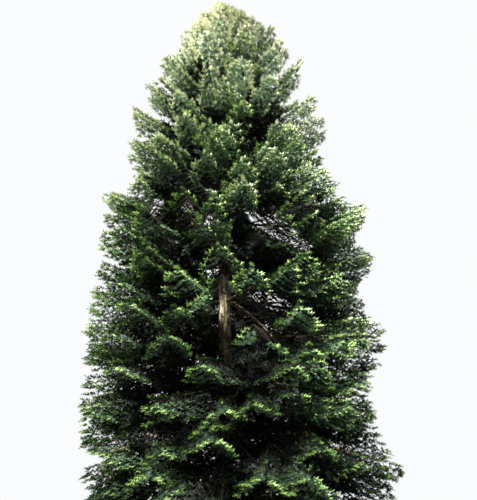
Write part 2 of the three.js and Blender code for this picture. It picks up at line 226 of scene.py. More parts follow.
TWIG_BEND = 0.16  # forwards at the tip, for each unit of length
DROOP_RECOVERY = 0.45  # how far a side twig's droop eases off towards its tip
TWIG_RADIUS = 0.007
TWIG_TIP_RADIUS = 0.002
TWIG_END = 0.97  # share of its length where a twig's wood ends
LONG_TWIG = 0.4  # a twig longer than this is drawn bent, where it shows
LONG_TWIG_ZONE = 1.5
LIMB_STEPS = 9

# Shoots on a twig: those along it, the tuft at its end, and the one that stands on the limb at its foot.
SHOOT_ANGLE = 50  # degrees from its twig
SHOOT_ANGLE_SPREAD = 0.1  # radians
SHOOT_JITTER = 0.25  # of the pitch
SHOOT_SAG = 0.12
SHOOT_LEAST = 0.08  # length at the twig's tip
SHOOT_TAPER = 0.6
BARE_FOOT = 0.06  # of a twig's length
TUFT_PLACE = 0.1  # behind the twig's tip
TUFT_LEAST = 0.1  # share of its twig that a tuft stands out at, at least
TUFT_LIFT = 0.3
RIDGE_SPREAD = 0.2
SHOOT_SIZES = (0.8, 1.15)
TUFT_SIZES = (0.9, 1.4)
RIDGE_SIZES = (0.8, 1.2)
RIDGE_BACK = 0.06  # counts as this far behind the twig's tip, for its new growth
INNER_PLACES = (0.35, 0.7, 0.95)  # of the twig's length
INNER_SPREAD = 0.45
INNER_SIZES = (0.6, 1.2)

# Needles on a shoot: pairs along it, in ranks, each given by its side and its tilt in degrees from level. The
# last rank stands up, on both sides in turn.
NEEDLE_PAIRS = 4
INNER_NEEDLE_PAIRS = 3
NEEDLE_LEANS = (78, 34)  # degrees from the shoot, at its foot and its tip
NEEDLE_RANKS = ((1.0, -14), (-1.0, -14), (0.0, 52))
NEEDLE_SWELL = (0.72, 0.6, 0.75)  # size at the shoot's foot, then its rise and its fall along the shoot
NEEDLE_SCATTER = 0.09
NEEDLE_OVERHANG = 0.04  # that a shoot's last needles stand past its end
TUFT_BULK = 1.25  # needles of the shoots at twig ends, beside the others'
INNER_BULK = 2.2  # needles of the dark inner sprays

# New growth, and the painted shade of needles deep in the crown.
FRESH_ZONE = 2.0  # a twig that starts this near its limb's tip ends in a new shoot
FRESH_MOST = 2.4  # new pairs at the very tip of a twig and limb at the tree's foot
FRESH_FADE = 12  # fewer for each unit back along the twig
FRESH_FADE_EASE = 3  # how much less that is at the tree's top
FRESH_INWARDS = 0.6  # fewer for each unit behind the limb's tip
FRESH_HIGHER = 1.2  # more at the tree's top
FRESH_SCATTER = 0.5
SHADE_START = 0.3  # behind the limb's tip
SHADE_RUN = 1.7
LEAFY_SHADE = 0.95
BRIGHT_FACE = 0.74  # place on the scale of tones, from 0, darkest, to 1
BRIGHT_SHADED = 0.8  # less in full painted shade
BRIGHT_LIMB = 0.35  # more or less by the limb's own lightness
BRIGHT_SCATTER = 0.18
BRIGHTEST = 0.999  # under 1, so that it falls in the last tone
DARKEST_SHARE = 0.8  # of the inner sprays that take the darkest tone of all, as painted shade
ZONES = 6
ZONE_SPREAD = 0.05  # how far a light limb's needles take their colours from a higher zone
ZONE_SCATTER = 0.02
NEEDLE_FINISH = {"old": (0.6, 0.05), "under": (0.7, 0.0), "new": (0.5, 0.05)}  # roughness and wax
INNER_FINISH = (0.7, 0.0)
# Colours by height are partly the needles' own and partly painted light: darker at the foot, lighter at the
# top.
TONE_LEVELS = {"foot": 0.0, "low": 0.4, "high": 0.7, "top": 1.0}  # shares of the tree's height

# The window in the crown through which the trunk shows from the photograph's viewpoint. Above the height
# where it narrows, foliage hides the trunk's sides.
WINDOW_PLACE = -0.08
WINDOW_HALF_WIDTH = 0.3
WINDOW_ROUGHNESS = 0.1
WINDOW_WAVES = 9  # radians for each unit of height
WINDOW_LOW = 6.85
WINDOW_HIGH = 10.1
WINDOW_NARROWS = 9.0
WINDOW_HALF_NARROW = 0.13
WINDOW_DEPTH = -0.1

# The lights' directions, and the opening through which the sun reaches the trunk in that window.
SUN_WAY = Vector((-0.62, -0.85, 0.95))
FILL_WAY = Vector((1.3, -0.2, 0.7))
BOX_PLACE = Vector((-5, -16, 22))
BOX_AIM = Vector((0, 0, 16))
SUN_FRAME = np.array(SUN_WAY.to_track_quat("Z", "Y").to_matrix())  # the sun's way is its last column
SUNLIT_DEPTH = -0.3
SUNLIT_PLACE = -0.2
SUNLIT_HALF_WIDTH = 0.2
SUNLIT_LOW = 7.75
SUNLIT_HIGH = 9.0

# A bare old bough beside the window, lit by the sun, with painted sunlight in its pale bark.
BARE_ENDS = np.array(((0.1, -0.15, 8.45), (1.7, -0.7, 7.0)))
BARE_RADII = (0.075, 0.02)
BARE_ARCH = 0.16
BARE_RINGS = 14
BARE_CLEARING = 0.24

# Gaps right through the crown as seen from that viewpoint: across and height on the upright plane through
# the trunk, then half the length, half the width and the tilt in degrees.
CLEAR_GAPS = (
    (-2.68, 12.25, 0.4, 0.25, 90), (-1.35, 12.2, 0.4, 0.12, -30), (-0.65, 11.75, 0.35, 0.16, 90),
    (2.0, 11.3, 1.5, 0.38, -32), (1.65, 8.5, 0.95, 0.28, -21),
)
# Hollows in the crown's face, where bare twigs stand before the dark inside, given as the gaps are.
HOLLOWS = (
    (-2.1, 11.75, 1.15, 0.42, -12), (1.3, 15.8, 0.75, 0.3, -78), (-0.75, 13.35, 0.42, 0.26, -70),
    (-1.2, 14.7, 0.5, 0.22, -60),
)
OVAL_ROUGHNESS = 0.1
OVAL_WAVES = 11  # radians for each unit of height
GAP_THINNING = 0.95
FAN_PITCH = 0.038  # between the bare twigs that cross a gap
HOLLOW_PITCH = 0.08
FAN_DEPTHS = (-1.6, 1.6)
HOLLOW_DEPTHS = (-1.7, -0.2)
FAN_SLOPES = (-50, -18)  # degrees
FAN_LENGTHS = (0.5, 1.1)
FAN_STARTS = (-0.2, 1.2)  # of a gap's half width, above its middle
FAN_FALL = 0.45
FAN_POINTS = 4
FAN_RADII = (0.024, 0.0096)

# Limbs that reach the tips of the crown's edge and of the plumes on its face: where the tips show on the
# upright plane through the trunk, then their depth.
PLUME_TIPS = (
    (2.3, 20.0, -0.3), (3.1, 19.0, 0.2), (-3.35, 17.85, 0.3), (3.85, 16.2, -0.3), (-3.8, 14.5, -0.4),
    (-4.8, 12.8, 0.1), (5.4, 12.35, 0.2), (5.2, 11.9, -0.5), (5.4, 10.35, 0.4), (5.4, 9.85, -0.4),
    (5.7, 7.6, 0.1), (-4.9, 4.9, -0.3), (5.15, 3.95, 0.4), (5.95, 2.7, -0.2), (4.45, 13.45, 0.1),
    (5.1, 8.6, 0.2), (5.15, 12.2, 1.1), (5.0, 11.4, -1.3), (4.8, 9.4, 0.9), (4.75, 9.1, -1.1),
    (5.1, 10.7, 1.3), (-0.2, 15.65, -3.7), (1.6, 14.9, -3.5), (0.65, 13.4, -4.3), (-0.65, 12.0, -4.7),
    (0.75, 18.0, -2.7), (-0.35, 17.85, -2.8), (-0.85, 14.55, -3.7), (2.65, 15.75, -2.6), (-2.2, 18.3, -1.5),
    (3.45, 11.95, -3.5),
)
# How much lighter the plumes' needles are: painted light, so that they stand out on the crown's face.
PLUME_PAINTED_LIGHT = 0.5

# The photograph's viewpoint.
EYE = Vector((0.49, -24.0, 1.6))
EYE_PITCH = 20.35  # degrees
LENS = 48.96  # millimetres, on the sensor below
SENSOR = 36
CLIP_END = 400

# Bark relief: ridges for each metre across and up the trunk, and bumps for each metre of a bough.
RIDGES_ACROSS = 14
RIDGES_UP = 1.7
FINE_RIDGES = 2.3
BOUGH_BUMPS = 9
BOUGH_FOOT = 0.6  # of the trunk's radius, where a bough's bark starts inside the trunk's
TRUNK_SIDE = 0.2  # how far out a bough's height on the trunk is read
BOUGH_END = 0.97
BOUGH_RINGS = 26

WORD = 0xFFFFFFFF  # keeps chance() to 32 bits


def linear(colour):
    """An sRGB hex value as linear red, green and blue with full alpha."""
    parts = [int(colour[i:i + 2], 16) / 255 for i in (1, 3, 5)]
    return [p / 12.92 if p <= 0.04045 else ((p + 0.055) / 1.055) ** 2.4 for p in parts] + [1.0]


def metres(name, text, default, least=0.01):
    """A length that a user can change."""
    return bpy.props.FloatProperty(name=name, description=text, default=default, min=least, unit="LENGTH")


def amount(name, text, default):
    """A strength or ratio that a user can change."""
    return bpy.props.FloatProperty(name=name, description=text, default=default, min=0.0)


def tones(name, text, default):
    """Colours that a user can change, as sRGB hex values with spaces between them."""
    return bpy.props.StringProperty(name=name, description=text, default=default)


def degrees(name, text, default):
    """An angle that a user can change."""
    return bpy.props.FloatProperty(name=name, description=text, default=math.radians(default), min=0.0,
                                   subtype="ANGLE")


def light_colour(name, text, default):
    """A light's colour that a user can change."""
    return bpy.props.FloatVectorProperty(name=name, description=text, default=default, min=0.0, max=1.0,
                                         subtype="COLOR")


class FirTrunkSettings(bpy.types.PropertyGroup):
    ring_pitch: metres("Ring pitch", "Height between the trunk's rings of points", 0.1, 0.02)
    sides: bpy.props.IntProperty(name="Sides", description="Points round the trunk", default=48, min=12)
    relief: metres("Relief", "Depth of the bark's ridges", 0.014, 0.0)
    bough_sides: bpy.props.IntProperty(
        name="Bough sides", description="Points round a bough", default=8, min=5)
    bough_relief: metres("Bough relief", "Depth of the boughs' bark", 0.004, 0.0)


class FirFoliageSettings(bpy.types.PropertyGroup):
    twig_pitch: metres("Twig pitch", "Distance between two side twigs on a limb", 0.215, 0.05)
    low_twig: metres("Low twig", "Length of the longest side twigs at the foot", 0.95, 0.1)
    high_twig: metres("High twig", "Length of the longest side twigs at the top", 0.4, 0.1)
    low_leafy: metres("Low leafy part", "Outer part of a limb with leafy twigs, at the foot", 2.3, 0.3)
    high_leafy: metres("High leafy part", "Outer part of a limb with leafy twigs, at the top", 1.4, 0.3)
    shoot_pitch: metres("Shoot pitch", "Distance between two pairs of shoots on a twig", 0.155, 0.03)
    shoot_length: metres("Shoot length", "Length of a full shoot, larger than life", 0.2, 0.03)
    needle_length: metres("Needle length", "Length of a needle, larger than life", 0.1)
    low_droop: amount("Low droop", "Fall of side twigs at the foot, for each unit of length", 1.6)
    high_droop: amount("High droop", "Fall of side twigs at the top, for each unit of length", 0.9)
    inner_pitch: metres("Inner pitch", "Distance between two twigs on a limb's shaded inner part", 0.3, 0.1)
    inner_length: metres("Inner spray length", "Length of the dark sprays on those twigs", 0.36, 0.1)


class FirColours(bpy.types.PropertyGroup):
    """Each bark's cracks, plates and streaks, and the needles by height, each kind from its darkest tone."""

    trunk: tones("Trunk", "Bark of the trunk", "#352b1c #a08e6a #f4e6c4")
    bough: tones("Boughs", "Bark of the boughs", "#2e271d #63553f #a8946f")
    # The bare old bough's bark: partly weathered, partly painted sunlight, as a lighter copy of the boughs'
    # bark.
    weathered: tones("Weathered", "Bark of the bare old bough", "#5c4c34 #c8b68e #fff2d2")
    twig: tones("Twigs", "Bark of the twigs", "#14100b #261f15 #3c3224")
    inner: tones("Inner needles", "Needles in the deepest shade", "#050903")
    # Tones within a kind are steps of painted shade; darker foot and lighter top are partly painted light.
    foot_old: tones("Old, foot", "Old needles at the foot", "#060e04 #0b1907 #13280c #1d3712")
    foot_under: tones("Under, foot", "Undersides at the foot", "#091407 #12240f #1f341a")
    foot_new: tones("New, foot", "This year's growth at the foot", "#243c0e #365418 #4e6e26")
    low_old: tones("Old, low", "Old needles low down", "#10200e #243b19 #3b592b #527244")
    low_under: tones("Under, low", "Undersides low down", "#1c2f1c #2e452e #425a42")
    low_new: tones("New, low", "This year's growth low down", "#5e823a #8aac58 #b8d288")
    high_old: tones("Old, high", "Old needles high up", "#142214 #2f462d #4e6848 #6f8a62")
    high_under: tones("Under, high", "Undersides high up", "#364c3c #5e7c60 #8aa68e")
    # New growth is really lighter; its palest tones high up are partly painted highlight.
    high_new: tones("New, high", "This year's growth high up", "#9cb66c #d0dea6 #f6fad4")
    top_old: tones("Old, top", "Old needles at the top", "#070d04 #18240c #3d4a27 #6c7b54")
    top_under: tones("Under, top", "Undersides at the top", "#1f2a12 #4d5837 #7d8862")
    top_new: tones("New, top", "This year's growth at the top", "#6e6e38 #8c8a4e #a8a474")


class FirStageSettings(bpy.types.PropertyGroup):
    floor_radius: metres("Floor radius", "Radius of the pale floor", 90.0, 20.0)
    floor_colour: tones("Floor colour", "Colour of the floor", "#959390")
    surround_colour: tones("Surround colour", "Colour of the plain surround", "#fbfcfd")
    surround_strength: amount("Surround strength", "Strength of the surround's light", 0.1)
    sun_strength: amount("Key strength", "Strength of the key light", 11.0)
    sun_colour: light_colour("Key colour", "Colour of the key light", (1.0, 0.98, 0.92))
    sun_width: degrees("Key width", "Angle that the key light fills", 6)
    fill_strength: amount("Fill strength", "Strength of the broad cool light from the right", 2.4)
    fill_colour: light_colour("Fill colour", "Colour of that light", (0.62, 0.86, 1.0))
    fill_width: degrees("Fill width", "Angle that the fill light fills", 30)
    box_power: amount("Soft box power", "Power of the soft box before the tree's top", 6500.0)
    box_size: metres("Soft box size", "Side of the soft box", 9.0, 0.1)


Settings = namedtuple("Settings", FirFoliageSettings.__annotations__)


def foliage_settings(context):
    """The foliage sizes that a user sets, frozen so that one growth serves twigs and needles."""
    return Settings(*(getattr(context.scene.fir_foliage, name) for name in Settings._fields))


def chance(thing, choice):
    """A repeatable fraction from 0 to 1 for one numbered choice about one numbered thing."""
    mix = ((thing + 1) * 0x9E3779B1 ^ (choice + 1) * 0x85EBCA6B ^ SEED) & WORD
    mix = ((mix ^ mix >> 15) * 0x2C1B3C6D) & WORD
    mix = ((mix ^ mix >> 12) * 0x297A2D39) & WORD
    mix ^= mix >> 15
    return mix / (WORD + 1)


def thing_number(kind, group, place):
    """The number of a limb for chance(), from its kind, its bough or whorl and its place there."""
    first, many = kind
    return first + group * many + place


def spread_chance(thing, choice, size):
    return (chance(thing, choice) * 2 - 1) * size


def own_light(thing):
    """How light a limb's needles are beside its neighbours', from -1 to 1."""
    return spread_chance(thing, 8, 1)


def mix_between(low, high, share):
    return low + (high - low) * share


def unit(vectors):
    return vectors / np.maximum(np.linalg.norm(vectors, axis=-1, keepdims=True), 1e-9)


def rows_of(table, rows):
    """Some rows of twigs or shoots."""
    return type(table)(*[column[rows] for column in table])


def joined_rows(groups):
    return [np.concatenate(column) for column in zip(*groups)]


def trunk_centre(height):
    """The trunk's centre line, as places across the ground at each height."""
    share = np.asarray(height) / TREE_HEIGHT
    across = TRUNK_LEAN * share * TREE_HEIGHT + TRUNK_SWAY * np.sin(share * SWAY_TURNS[0])
    return np.stack([across, TRUNK_SWAY * np.sin(share * SWAY_TURNS[1]) * SWAY_ALONG], axis=-1)


def off_trunk(points):
    """How points lie from the trunk's centre line, across the ground."""
    return points[..., :2] - trunk_centre(points[..., 2])


def trunk_radius(height):
    breast = (1 - BREAST_HEIGHT / TREE_HEIGHT) ** TRUNK_TAPER
    stem = (BREAST_RADIUS - TRUNK_TIP_RADIUS) / breast
    flare = FLARE_RADIUS * math.exp(-height / FLARE_HEIGHT)
    return TRUNK_TIP_RADIUS + stem * max(0.0, 1 - height / TREE_HEIGHT) ** TRUNK_TAPER + flare


def crown_radius(height):
    fullness = min(max((CROWN_TOP - height) / (CROWN_TOP - CROWN_SHOULDER), 0), 1) ** CROWN_BLUNTNESS
    waist = WAIST_DEPTH * math.exp(-(((height - WAIST_HEIGHT) / WAIST_SPREAD) ** 2))
    return CROWN_RADIUS * fullness * (1 - waist)


class Tier(NamedTuple):
    index: int
    reach: float
    tip_height: float
    rise: float
    arch: float

    def height(self, distance):
        """Height of the tier's surface at a distance from the trunk's centre."""
        share = distance / self.reach
        arched = self.arch * 4 * share * (1 - share)
        turned = TIP_UPTURN * self.reach * (share**4 - 1)
        return self.tip_height + self.rise * (share - 1) + arched + turned


def tier_of(index):
    share = index / (TIER_COUNT - 1)
    tip_height = mix_between(LOWEST_TIP, HIGHEST_TIP, share)
    reach = crown_radius(tip_height)
    if share < 0.5:
        slope = mix_between(LOWEST_SLOPE, MIDDLE_SLOPE, share * 2)
    else:
        slope = mix_between(MIDDLE_SLOPE, HIGHEST_SLOPE, (share * 2 - 1) ** STEEPENING)
    rise = math.tan(math.radians(slope)) * reach
    return Tier(index, reach, tip_height, rise, mix_between(LOW_ARCH, HIGH_ARCH, share) * reach)


def crown_points(distance, azimuth, height):
    centre = trunk_centre(height)
    across = centre[..., 0] + distance * np.cos(azimuth)
    along = centre[..., 1] + distance * np.sin(azimuth)
    return np.stack([across, along, height + 0 * across], axis=-1)


class Bough(NamedTuple):
    """A main bough, with the edges of its sector of the crown."""

    number: int
    tier: Tier
    azimuth: float
    reach: float
    low: float
    high: float
    sway: float

    def points(self, shares):
        """Points of the bough's line at shares of its reach, from the trunk's centre to its tip."""
        distance = self.reach * shares
        azimuth = self.azimuth + self.sway * np.sin(math.pi * shares)
        return crown_points(distance, azimuth, self.tier.height(distance))

    def radius(self, share):
        size = min(max(self.reach / CROWN_RADIUS, LEAST_BOUGH_SIZE), 1)
        return mix_between(BOUGH_RADIUS * size, BOUGH_TIP_RADIUS, share**BOUGH_TAPER)

    def half_sector(self, hand):
        return self.azimuth - self.low if hand < 0 else self.high - self.azimuth


def outline_reach(height, azimuth):
    """How far the crown's outline lies from the trunk, at heights and in directions."""
    sides = [np.interp(height, OUTLINE[:, 0], OUTLINE[:, side]) for side in (1, 2)]
    return mix_between(sides[0], sides[1], 0.5 + 0.5 * np.cos(azimuth))


def seen_from_front(points):
    """Where points show on the upright plane through the trunk, from the photograph's viewpoint."""
    scale = -EYE.y / (points[:, 1] - EYE.y)
    return EYE.x + (points[:, 0] - EYE.x) * scale, EYE.z + (points[:, 2] - EYE.z) * scale


def placed_from_front(across, height, depth):
    """The point at a depth that shows at a place on the upright plane through the trunk."""
    scale = (depth - EYE.y) / -EYE.y
    return np.stack([EYE.x + (across - EYE.x) * scale, depth, EYE.z + (height - EYE.z) * scale], axis=-1)


def room_at_edge(points):
    """How far points lie inside the crown's edge, as it shows from the photograph's viewpoint."""
    across, height = seen_from_front(points)
    off = across - trunk_centre(height)[:, 0]
    left = np.interp(height, EDGE[:, 0], EDGE[:, 1])
    right = np.interp(height, EDGE[:, 0], EDGE[:, 2])
    return np.where(off < 0, left + off, right - off)


def fitted(points, thing):
    """A limb drawn in towards its root until its tip keeps to the crown's outline and to its edge."""
    margin = EDGE_MARGIN + spread_chance(thing, 9, EDGE_MARGIN)
    jitter = 1 + spread_chance(thing, 9, OUTLINE_JITTER)
    drawn = points.copy()
    for share in DRAWN_IN:
        drawn[:, :2] = points[0, :2] + (points[:, :2] - points[0, :2]) * share
        offset = off_trunk(drawn[-1])
        allowed = outline_reach(drawn[-1, 2], math.atan2(offset[1], offset[0])) * jitter - OUTLINE_MARGIN
        if np.hypot(*offset) < allowed and room_at_edge(drawn[-1:])[0] > margin:
            break
    return drawn


def fork_points(bough, leave, azimuth, reach, lift):
    """Points of a fork's line, from its bough to its own tip."""
    root = bough.points(np.array([leave]))[0]
    tip = crown_points(np.float64(reach), azimuth, bough.tier.height(reach))
    points = root + (tip - root) * ALONG[:, None]
    distance = np.linalg.norm(off_trunk(points), axis=1)
    points[:, 2] = bough.tier.height(distance) + lift * ALONG * (2 - ALONG)
    return points


def beside_gap(azimuth, height):
    """Turns a bough aside where the front of the trunk shows."""
    middle = math.radians(GAP_AZIMUTH)
    half = math.radians(GAP_HALF_WIDTH)
    off = math.atan2(math.sin(azimuth - middle), math.cos(azimuth - middle))
    if GAP_LOW < height < GAP_HIGH and abs(off) < half:
        return azimuth - off + (-half if off < 0 else half)
    return azimuth


def reach_at(height, azimuth, thing):
    """How far a limb reaches that ends at a height, in a direction."""
    side = 1 + OPEN_SIDE * math.cos(azimuth)
    return crown_radius(height) * side * (1 + spread_chance(thing, 2, REACH_JITTER))


def grow_boughs():
    """Every main bough with its line and its sector."""
    boughs = []
    for index, count in enumerate(BOUGHS_IN_TIER):
        tier = tier_of(index)
        first = len(boughs)
        azimuths = []
        for place in range(count):
            jitter = spread_chance(first + place, 1, AZIMUTH_JITTER)
            even = math.radians(TURN_PER_TIER) * index + math.tau / count * (place + jitter)
            azimuths.append(beside_gap(even, tier.height(tier.reach / 2)))
        for place, azimuth in enumerate(azimuths):
            number = first + place
            before = azimuths[place - 1] - (math.tau if place == 0 else 0)
            after = azimuths[(place + 1) % count] + (math.tau if place == count - 1 else 0)
            boughs.append(Bough(
                number, tier, azimuth, reach_at(tier.tip_height, azimuth, number),
                (before + azimuth) / 2, (azimuth + after) / 2, spread_chance(number, 3, BOUGH_SWAY),
            ))
    return boughs


class Limb(NamedTuple):
    """A line of wood that carries side twigs along its outer part."""

    tier: int
    points: np.ndarray
    root_radius: float
    roll: float
    # How light its needles are: at random, but painted light on the plumes and painted shade on the inner
    # limbs.
    light: float
    fine: bool  # finer than the source's own

    def length(self):
        return np.linalg.norm(np.diff(self.points, axis=0), axis=1).sum()

    def level(self):
        """Height of its tip, as a share of the tree's."""
        return self.points[-1, 2] / TREE_HEIGHT

    def line_at(self, at):
        """Points and directions of its line at distances along it."""
        steps = np.linalg.norm(np.diff(self.points, axis=0), axis=1)
        arc = np.concatenate([[0], np.cumsum(steps)])
        places = [np.stack([np.interp(at + shift, arc, self.points[:, axis]) for axis in range(3)], axis=-1)
                  for shift in (-LINE_SPAN, 0, LINE_SPAN)]
        return places[1], unit(places[2] - places[0])


def source_forks(bough):
    """The forks of the source's own rule, in pairs from the outermost inwards."""
    tier = bough.tier
    pairs = FORKS_IN_TIER[tier.index]
    first = FORK_START if tier.index < BARE_BOUGH_TIERS else HIGH_FORK_START
    level = TOP_FORK_LEVEL if tier.index == TIER_COUNT - 1 else FORK_LEVEL
    limbs = []
    for i in range(pairs):
        for hand in (-1, 1):
            thing = thing_number(FORK_THINGS, bough.number, len(limbs))
            azimuth = bough.azimuth + hand * bough.half_sector(hand) * FORK_SPREAD * (pairs - i) / pairs
            up = 1 if (i % 2 == 0) == (hand > 0) else -1
            jitter = spread_chance(thing, 4, FORK_LIFT_JITTER)
            lift = (level + up * FORK_LIFT + jitter) * TIER_GAP
            leave = first + FORK_STAGGER * (i + (HAND_STAGGER if hand > 0 else 0))
            free = reach_at(tier.tip_height + lift, azimuth, thing + FORK_REACH_THING)
            reach = min(free, bough.reach * FORK_REACH_LIMIT)
            points = fitted(fork_points(bough, leave, azimuth, reach, lift), thing)
            roll = spread_chance(thing + 1, 6, FROND_ROLL)
            radius = bough.radius(leave) * FORK_SIZE
            limbs.append(Limb(tier.index, points, radius, roll, own_light(thing), False))
    return limbs


def fine_forks(bough):
    """Finer forks than the source's, spread through the rest of the mass's own space."""
    tier = bough.tier
    count = FINE_FORKS[tier.index]
    limbs = []
    for i in range(count):
        thing = thing_number(FINE_THINGS, bough.number, i)
        across = (i + 0.5 + spread_chance(thing, 1, FINE_FORK_JITTER)) / count * 2 - 1
        azimuth = bough.azimuth + across * bough.half_sector(across) * FINE_FORK_SPREAD
        level = (i * EVEN_TURN + chance(thing, 4) * FINE_FORK_LIFT_JITTER) % 1 * 2 - 1
        lift = level * FINE_FORK_LIFT * TIER_GAP
        height = min(tier.tip_height + lift, HIGHEST_TIP)
        reach = reach_at(height, azimuth, thing) * mix_between(*FINE_FORK_REACH, chance(thing, 5))
        leave = mix_between(*FINE_FORK_START, chance(thing, 6)) * (1 - abs(across) * FINE_FORK_EARLY)
        points = fitted(fork_points(bough, leave, azimuth, reach, lift), thing)
        points[:, 2] = np.maximum(points[:, 2], GROUND_GAP + FINE_FORK_CLEARANCE)
        roll = spread_chance(thing, 7, LIMB_ROLL)
        radius = bough.radius(leave) * FINE_FORK_SIZE
        limbs.append(Limb(tier.index, points, radius, roll, own_light(thing), True))
    return limbs


def inner_limbs(bough):
    """Thin limbs straight from the trunk between the boughs, which stay in the crown's shade."""
    limbs = []
    for i in range(INNER_LIMBS):
        thing = thing_number(INNER_THINGS, bough.number, i)
        azimuth = mix_between(bough.low, bough.high, (i + chance(thing, 1)) / INNER_LIMBS)
        lift = ((i * EVEN_TURN + chance(thing, 2) * INNER_JITTER) % 1 - 0.5) * TIER_GAP
        distance = bough.reach * mix_between(*INNER_REACH, chance(thing, 3)) * ALONG
        points = crown_points(distance, azimuth, bough.tier.height(distance) + lift)
        points[:, 2] = np.maximum(points[:, 2], GROUND_GAP + INNER_CLEARANCE)
        # Their needles take the darkest tones: painted shade.
        limbs.append(Limb(bough.tier.index, points, INNER_RADIUS, 0.0, -1.0, True))
    return limbs


def dome_limbs():
    """The short steep limbs of the crown's dome, in whorls up to the leader's tip."""
    limbs = []
    for whorl, tip in enumerate(np.linspace(DOME_LOWEST_TIP, DOME_HIGHEST_TIP, DOME_WHORLS)):
        for i in range(DOME_BRANCHES):
            thing = thing_number(DOME_THINGS, whorl, i)
            turn = i + 0.5 * whorl + spread_chance(thing, 1, DOME_TURN_JITTER)
            azimuth = math.tau * turn / DOME_BRANCHES
            height = tip + spread_chance(thing, 3, DOME_TIP_JITTER)
            reach = outline_reach(height, azimuth) * mix_between(*DOME_REACH, chance(thing, 2))
            climb = max(reach * DOME_RISE, DOME_LEAST_RISE)
            rise = climb * ((1 - DOME_BEND) * ALONG + DOME_BEND * ALONG**2)
            points = fitted(crown_points(reach * ALONG, azimuth, height - climb + rise), thing)
            roll = spread_chance(thing, 6, LIMB_ROLL)
            limbs.append(Limb(TIER_COUNT - 1, points, DOME_RADIUS, roll, own_light(thing), False))
    return limbs


def plume_limbs():
    """Limbs from the trunk to the plumes' tips, with the rise of the tier that they end in."""
    limbs = []
    for i, place in enumerate(PLUME_TIPS):
        tip = placed_from_front(*(np.float64(part) for part in place))
        tier = tier_of(int(np.clip(round((tip[2] - LOWEST_TIP) / TIER_GAP), 0, TIER_COUNT - 1)))
        offset = off_trunk(tip)
        reach = np.hypot(*offset)
        fall = (tier.height(tier.reach * ALONG) - tier.tip_height) * reach / tier.reach
        points = crown_points(reach * ALONG, math.atan2(offset[1], offset[0]), tip[2] + fall)
        roll = spread_chance(PLUME_THINGS + i, 6, LIMB_ROLL)
        limbs.append(Limb(tier.index, points, PLUME_RADIUS, roll, PLUME_PAINTED_LIGHT, False))
    return limbs


class Twigs(NamedTuple):
    """Side twigs of one limb, as curves from a root: out, bent forwards and down, and up at the tip."""

    root: np.ndarray
    out: np.ndarray
    ahead: np.ndarray
    length: np.ndarray
    droop: np.ndarray
    behind: np.ndarray  # how far the root is behind the limb's tip

    def points(self, share):
        bend = self.ahead * (TWIG_BEND * share**2)[..., None]
        along = self.root + self.length[..., None] * (self.out * share[..., None] + bend)
        along[..., 2] -= self.droop * self.length * (share - DROOP_RECOVERY * share**2)
        return along

    def directions(self, share):
        slope = self.out + self.ahead * (2 * TWIG_BEND * share)[..., None]
        slope[..., 2] -= self.droop * (1 - 2 * DROOP_RECOVERY * share)
        return unit(slope)

    def flat(self):
        """Upright unit vectors square to the fronds that the twigs lie in."""
        return upwards(np.cross(self.ahead, self.out))

    def repeated(self, steps):
        """The twigs with a second axis, along which each is repeated."""
        return Twigs(*[np.repeat(column[:, None], steps, axis=1) for column in self])


def upwards(vectors):
    """Unit vectors along these lines that don't point down."""
    return unit(vectors) * np.where(vectors[..., 2:] < 0, -1.0, 1.0)


def level_side(ahead):
    return unit(np.stack([-ahead[..., 1], ahead[..., 0], 0 * ahead[..., 0]], axis=-1))


def leafy_part(limb, settings):
    """How much of a limb, back from its tip, carries leafy twigs."""
    leafy = mix_between(settings.low_leafy, settings.high_leafy, limb.level())
    return min(limb.length() * MOST_LEAFY, leafy * (FINE_LEAFY_SHARE if limb.fine else 1))


def longest_twig(limb, settings):
    return mix_between(settings.low_twig, settings.high_twig, limb.level())


def side_twigs(limb, near, far, pitch, longest, draw, settings):
    """Side twigs on both hands of a limb, between two distances behind its tip, in a fir's tent-like lie."""
    count = max(int((far - near) / pitch), 2)
    slots = np.repeat(np.arange(count), 2)
    hand = np.tile([1.0, -1.0], count)
    place = (slots + TWIG_FIRST + draw.uniform(-TWIG_JITTER, TWIG_JITTER, 2 * count)) / count
    behind = near + (far - near) * place**TWIG_CROWDING
    root, ahead = limb.line_at(limb.length() - behind)
    side = level_side(ahead)
    up = np.cross(ahead, side)
    side = side * math.cos(limb.roll) - up * math.sin(limb.roll)
    angle = np.radians(TWIG_ANGLE + draw.normal(0, TWIG_ANGLE_SPREAD, 2 * count))
    out = ahead * np.cos(angle)[:, None] + side * (hand * np.sin(angle))[:, None]
    length = np.minimum(FROND_BLUNTNESS + FROND_TAPER * behind, longest)
    length = length * draw.uniform(*TWIG_SIZES, 2 * count)
    droop = mix_between(settings.low_droop, settings.high_droop, limb.level())
    droop = droop * draw.uniform(*DROOP_SIZES, 2 * count)
    room = (root[:, 2] + length * out[:, 2] - GROUND_GAP - settings.needle_length) / length
    droop = np.minimum(droop, room / (1 - DROOP_RECOVERY))
    return Twigs(root, out, ahead, length, droop, behind)


class Shoots(NamedTuple):
    """Shoots with needles, one row each."""

    root: np.ndarray
    ahead: np.ndarray
    side: np.ndarray
    length: np.ndarray
    fresh: np.ndarray  # how many of its last needle pairs are this year's
    shade: np.ndarray  # 0 at the crown's face, 1 deep inside; it sets the needles' painted shade
    light: np.ndarray  # its limb's lightness
    bulk: np.ndarray  # size of its needles


def fresh_pairs(draw, height, back, behind):
    """How many of a shoot's last needle pairs are new growth: most at twig tips and near the limb's tip."""
    wish = FRESH_MOST - (FRESH_FADE - FRESH_FADE_EASE * height) * back - FRESH_INWARDS * behind
    wish = wish + FRESH_HIGHER * height + draw.normal(0, FRESH_SCATTER, back.shape)
    return np.clip(np.round(wish), 0, NEEDLE_PAIRS - 1).astype(int)


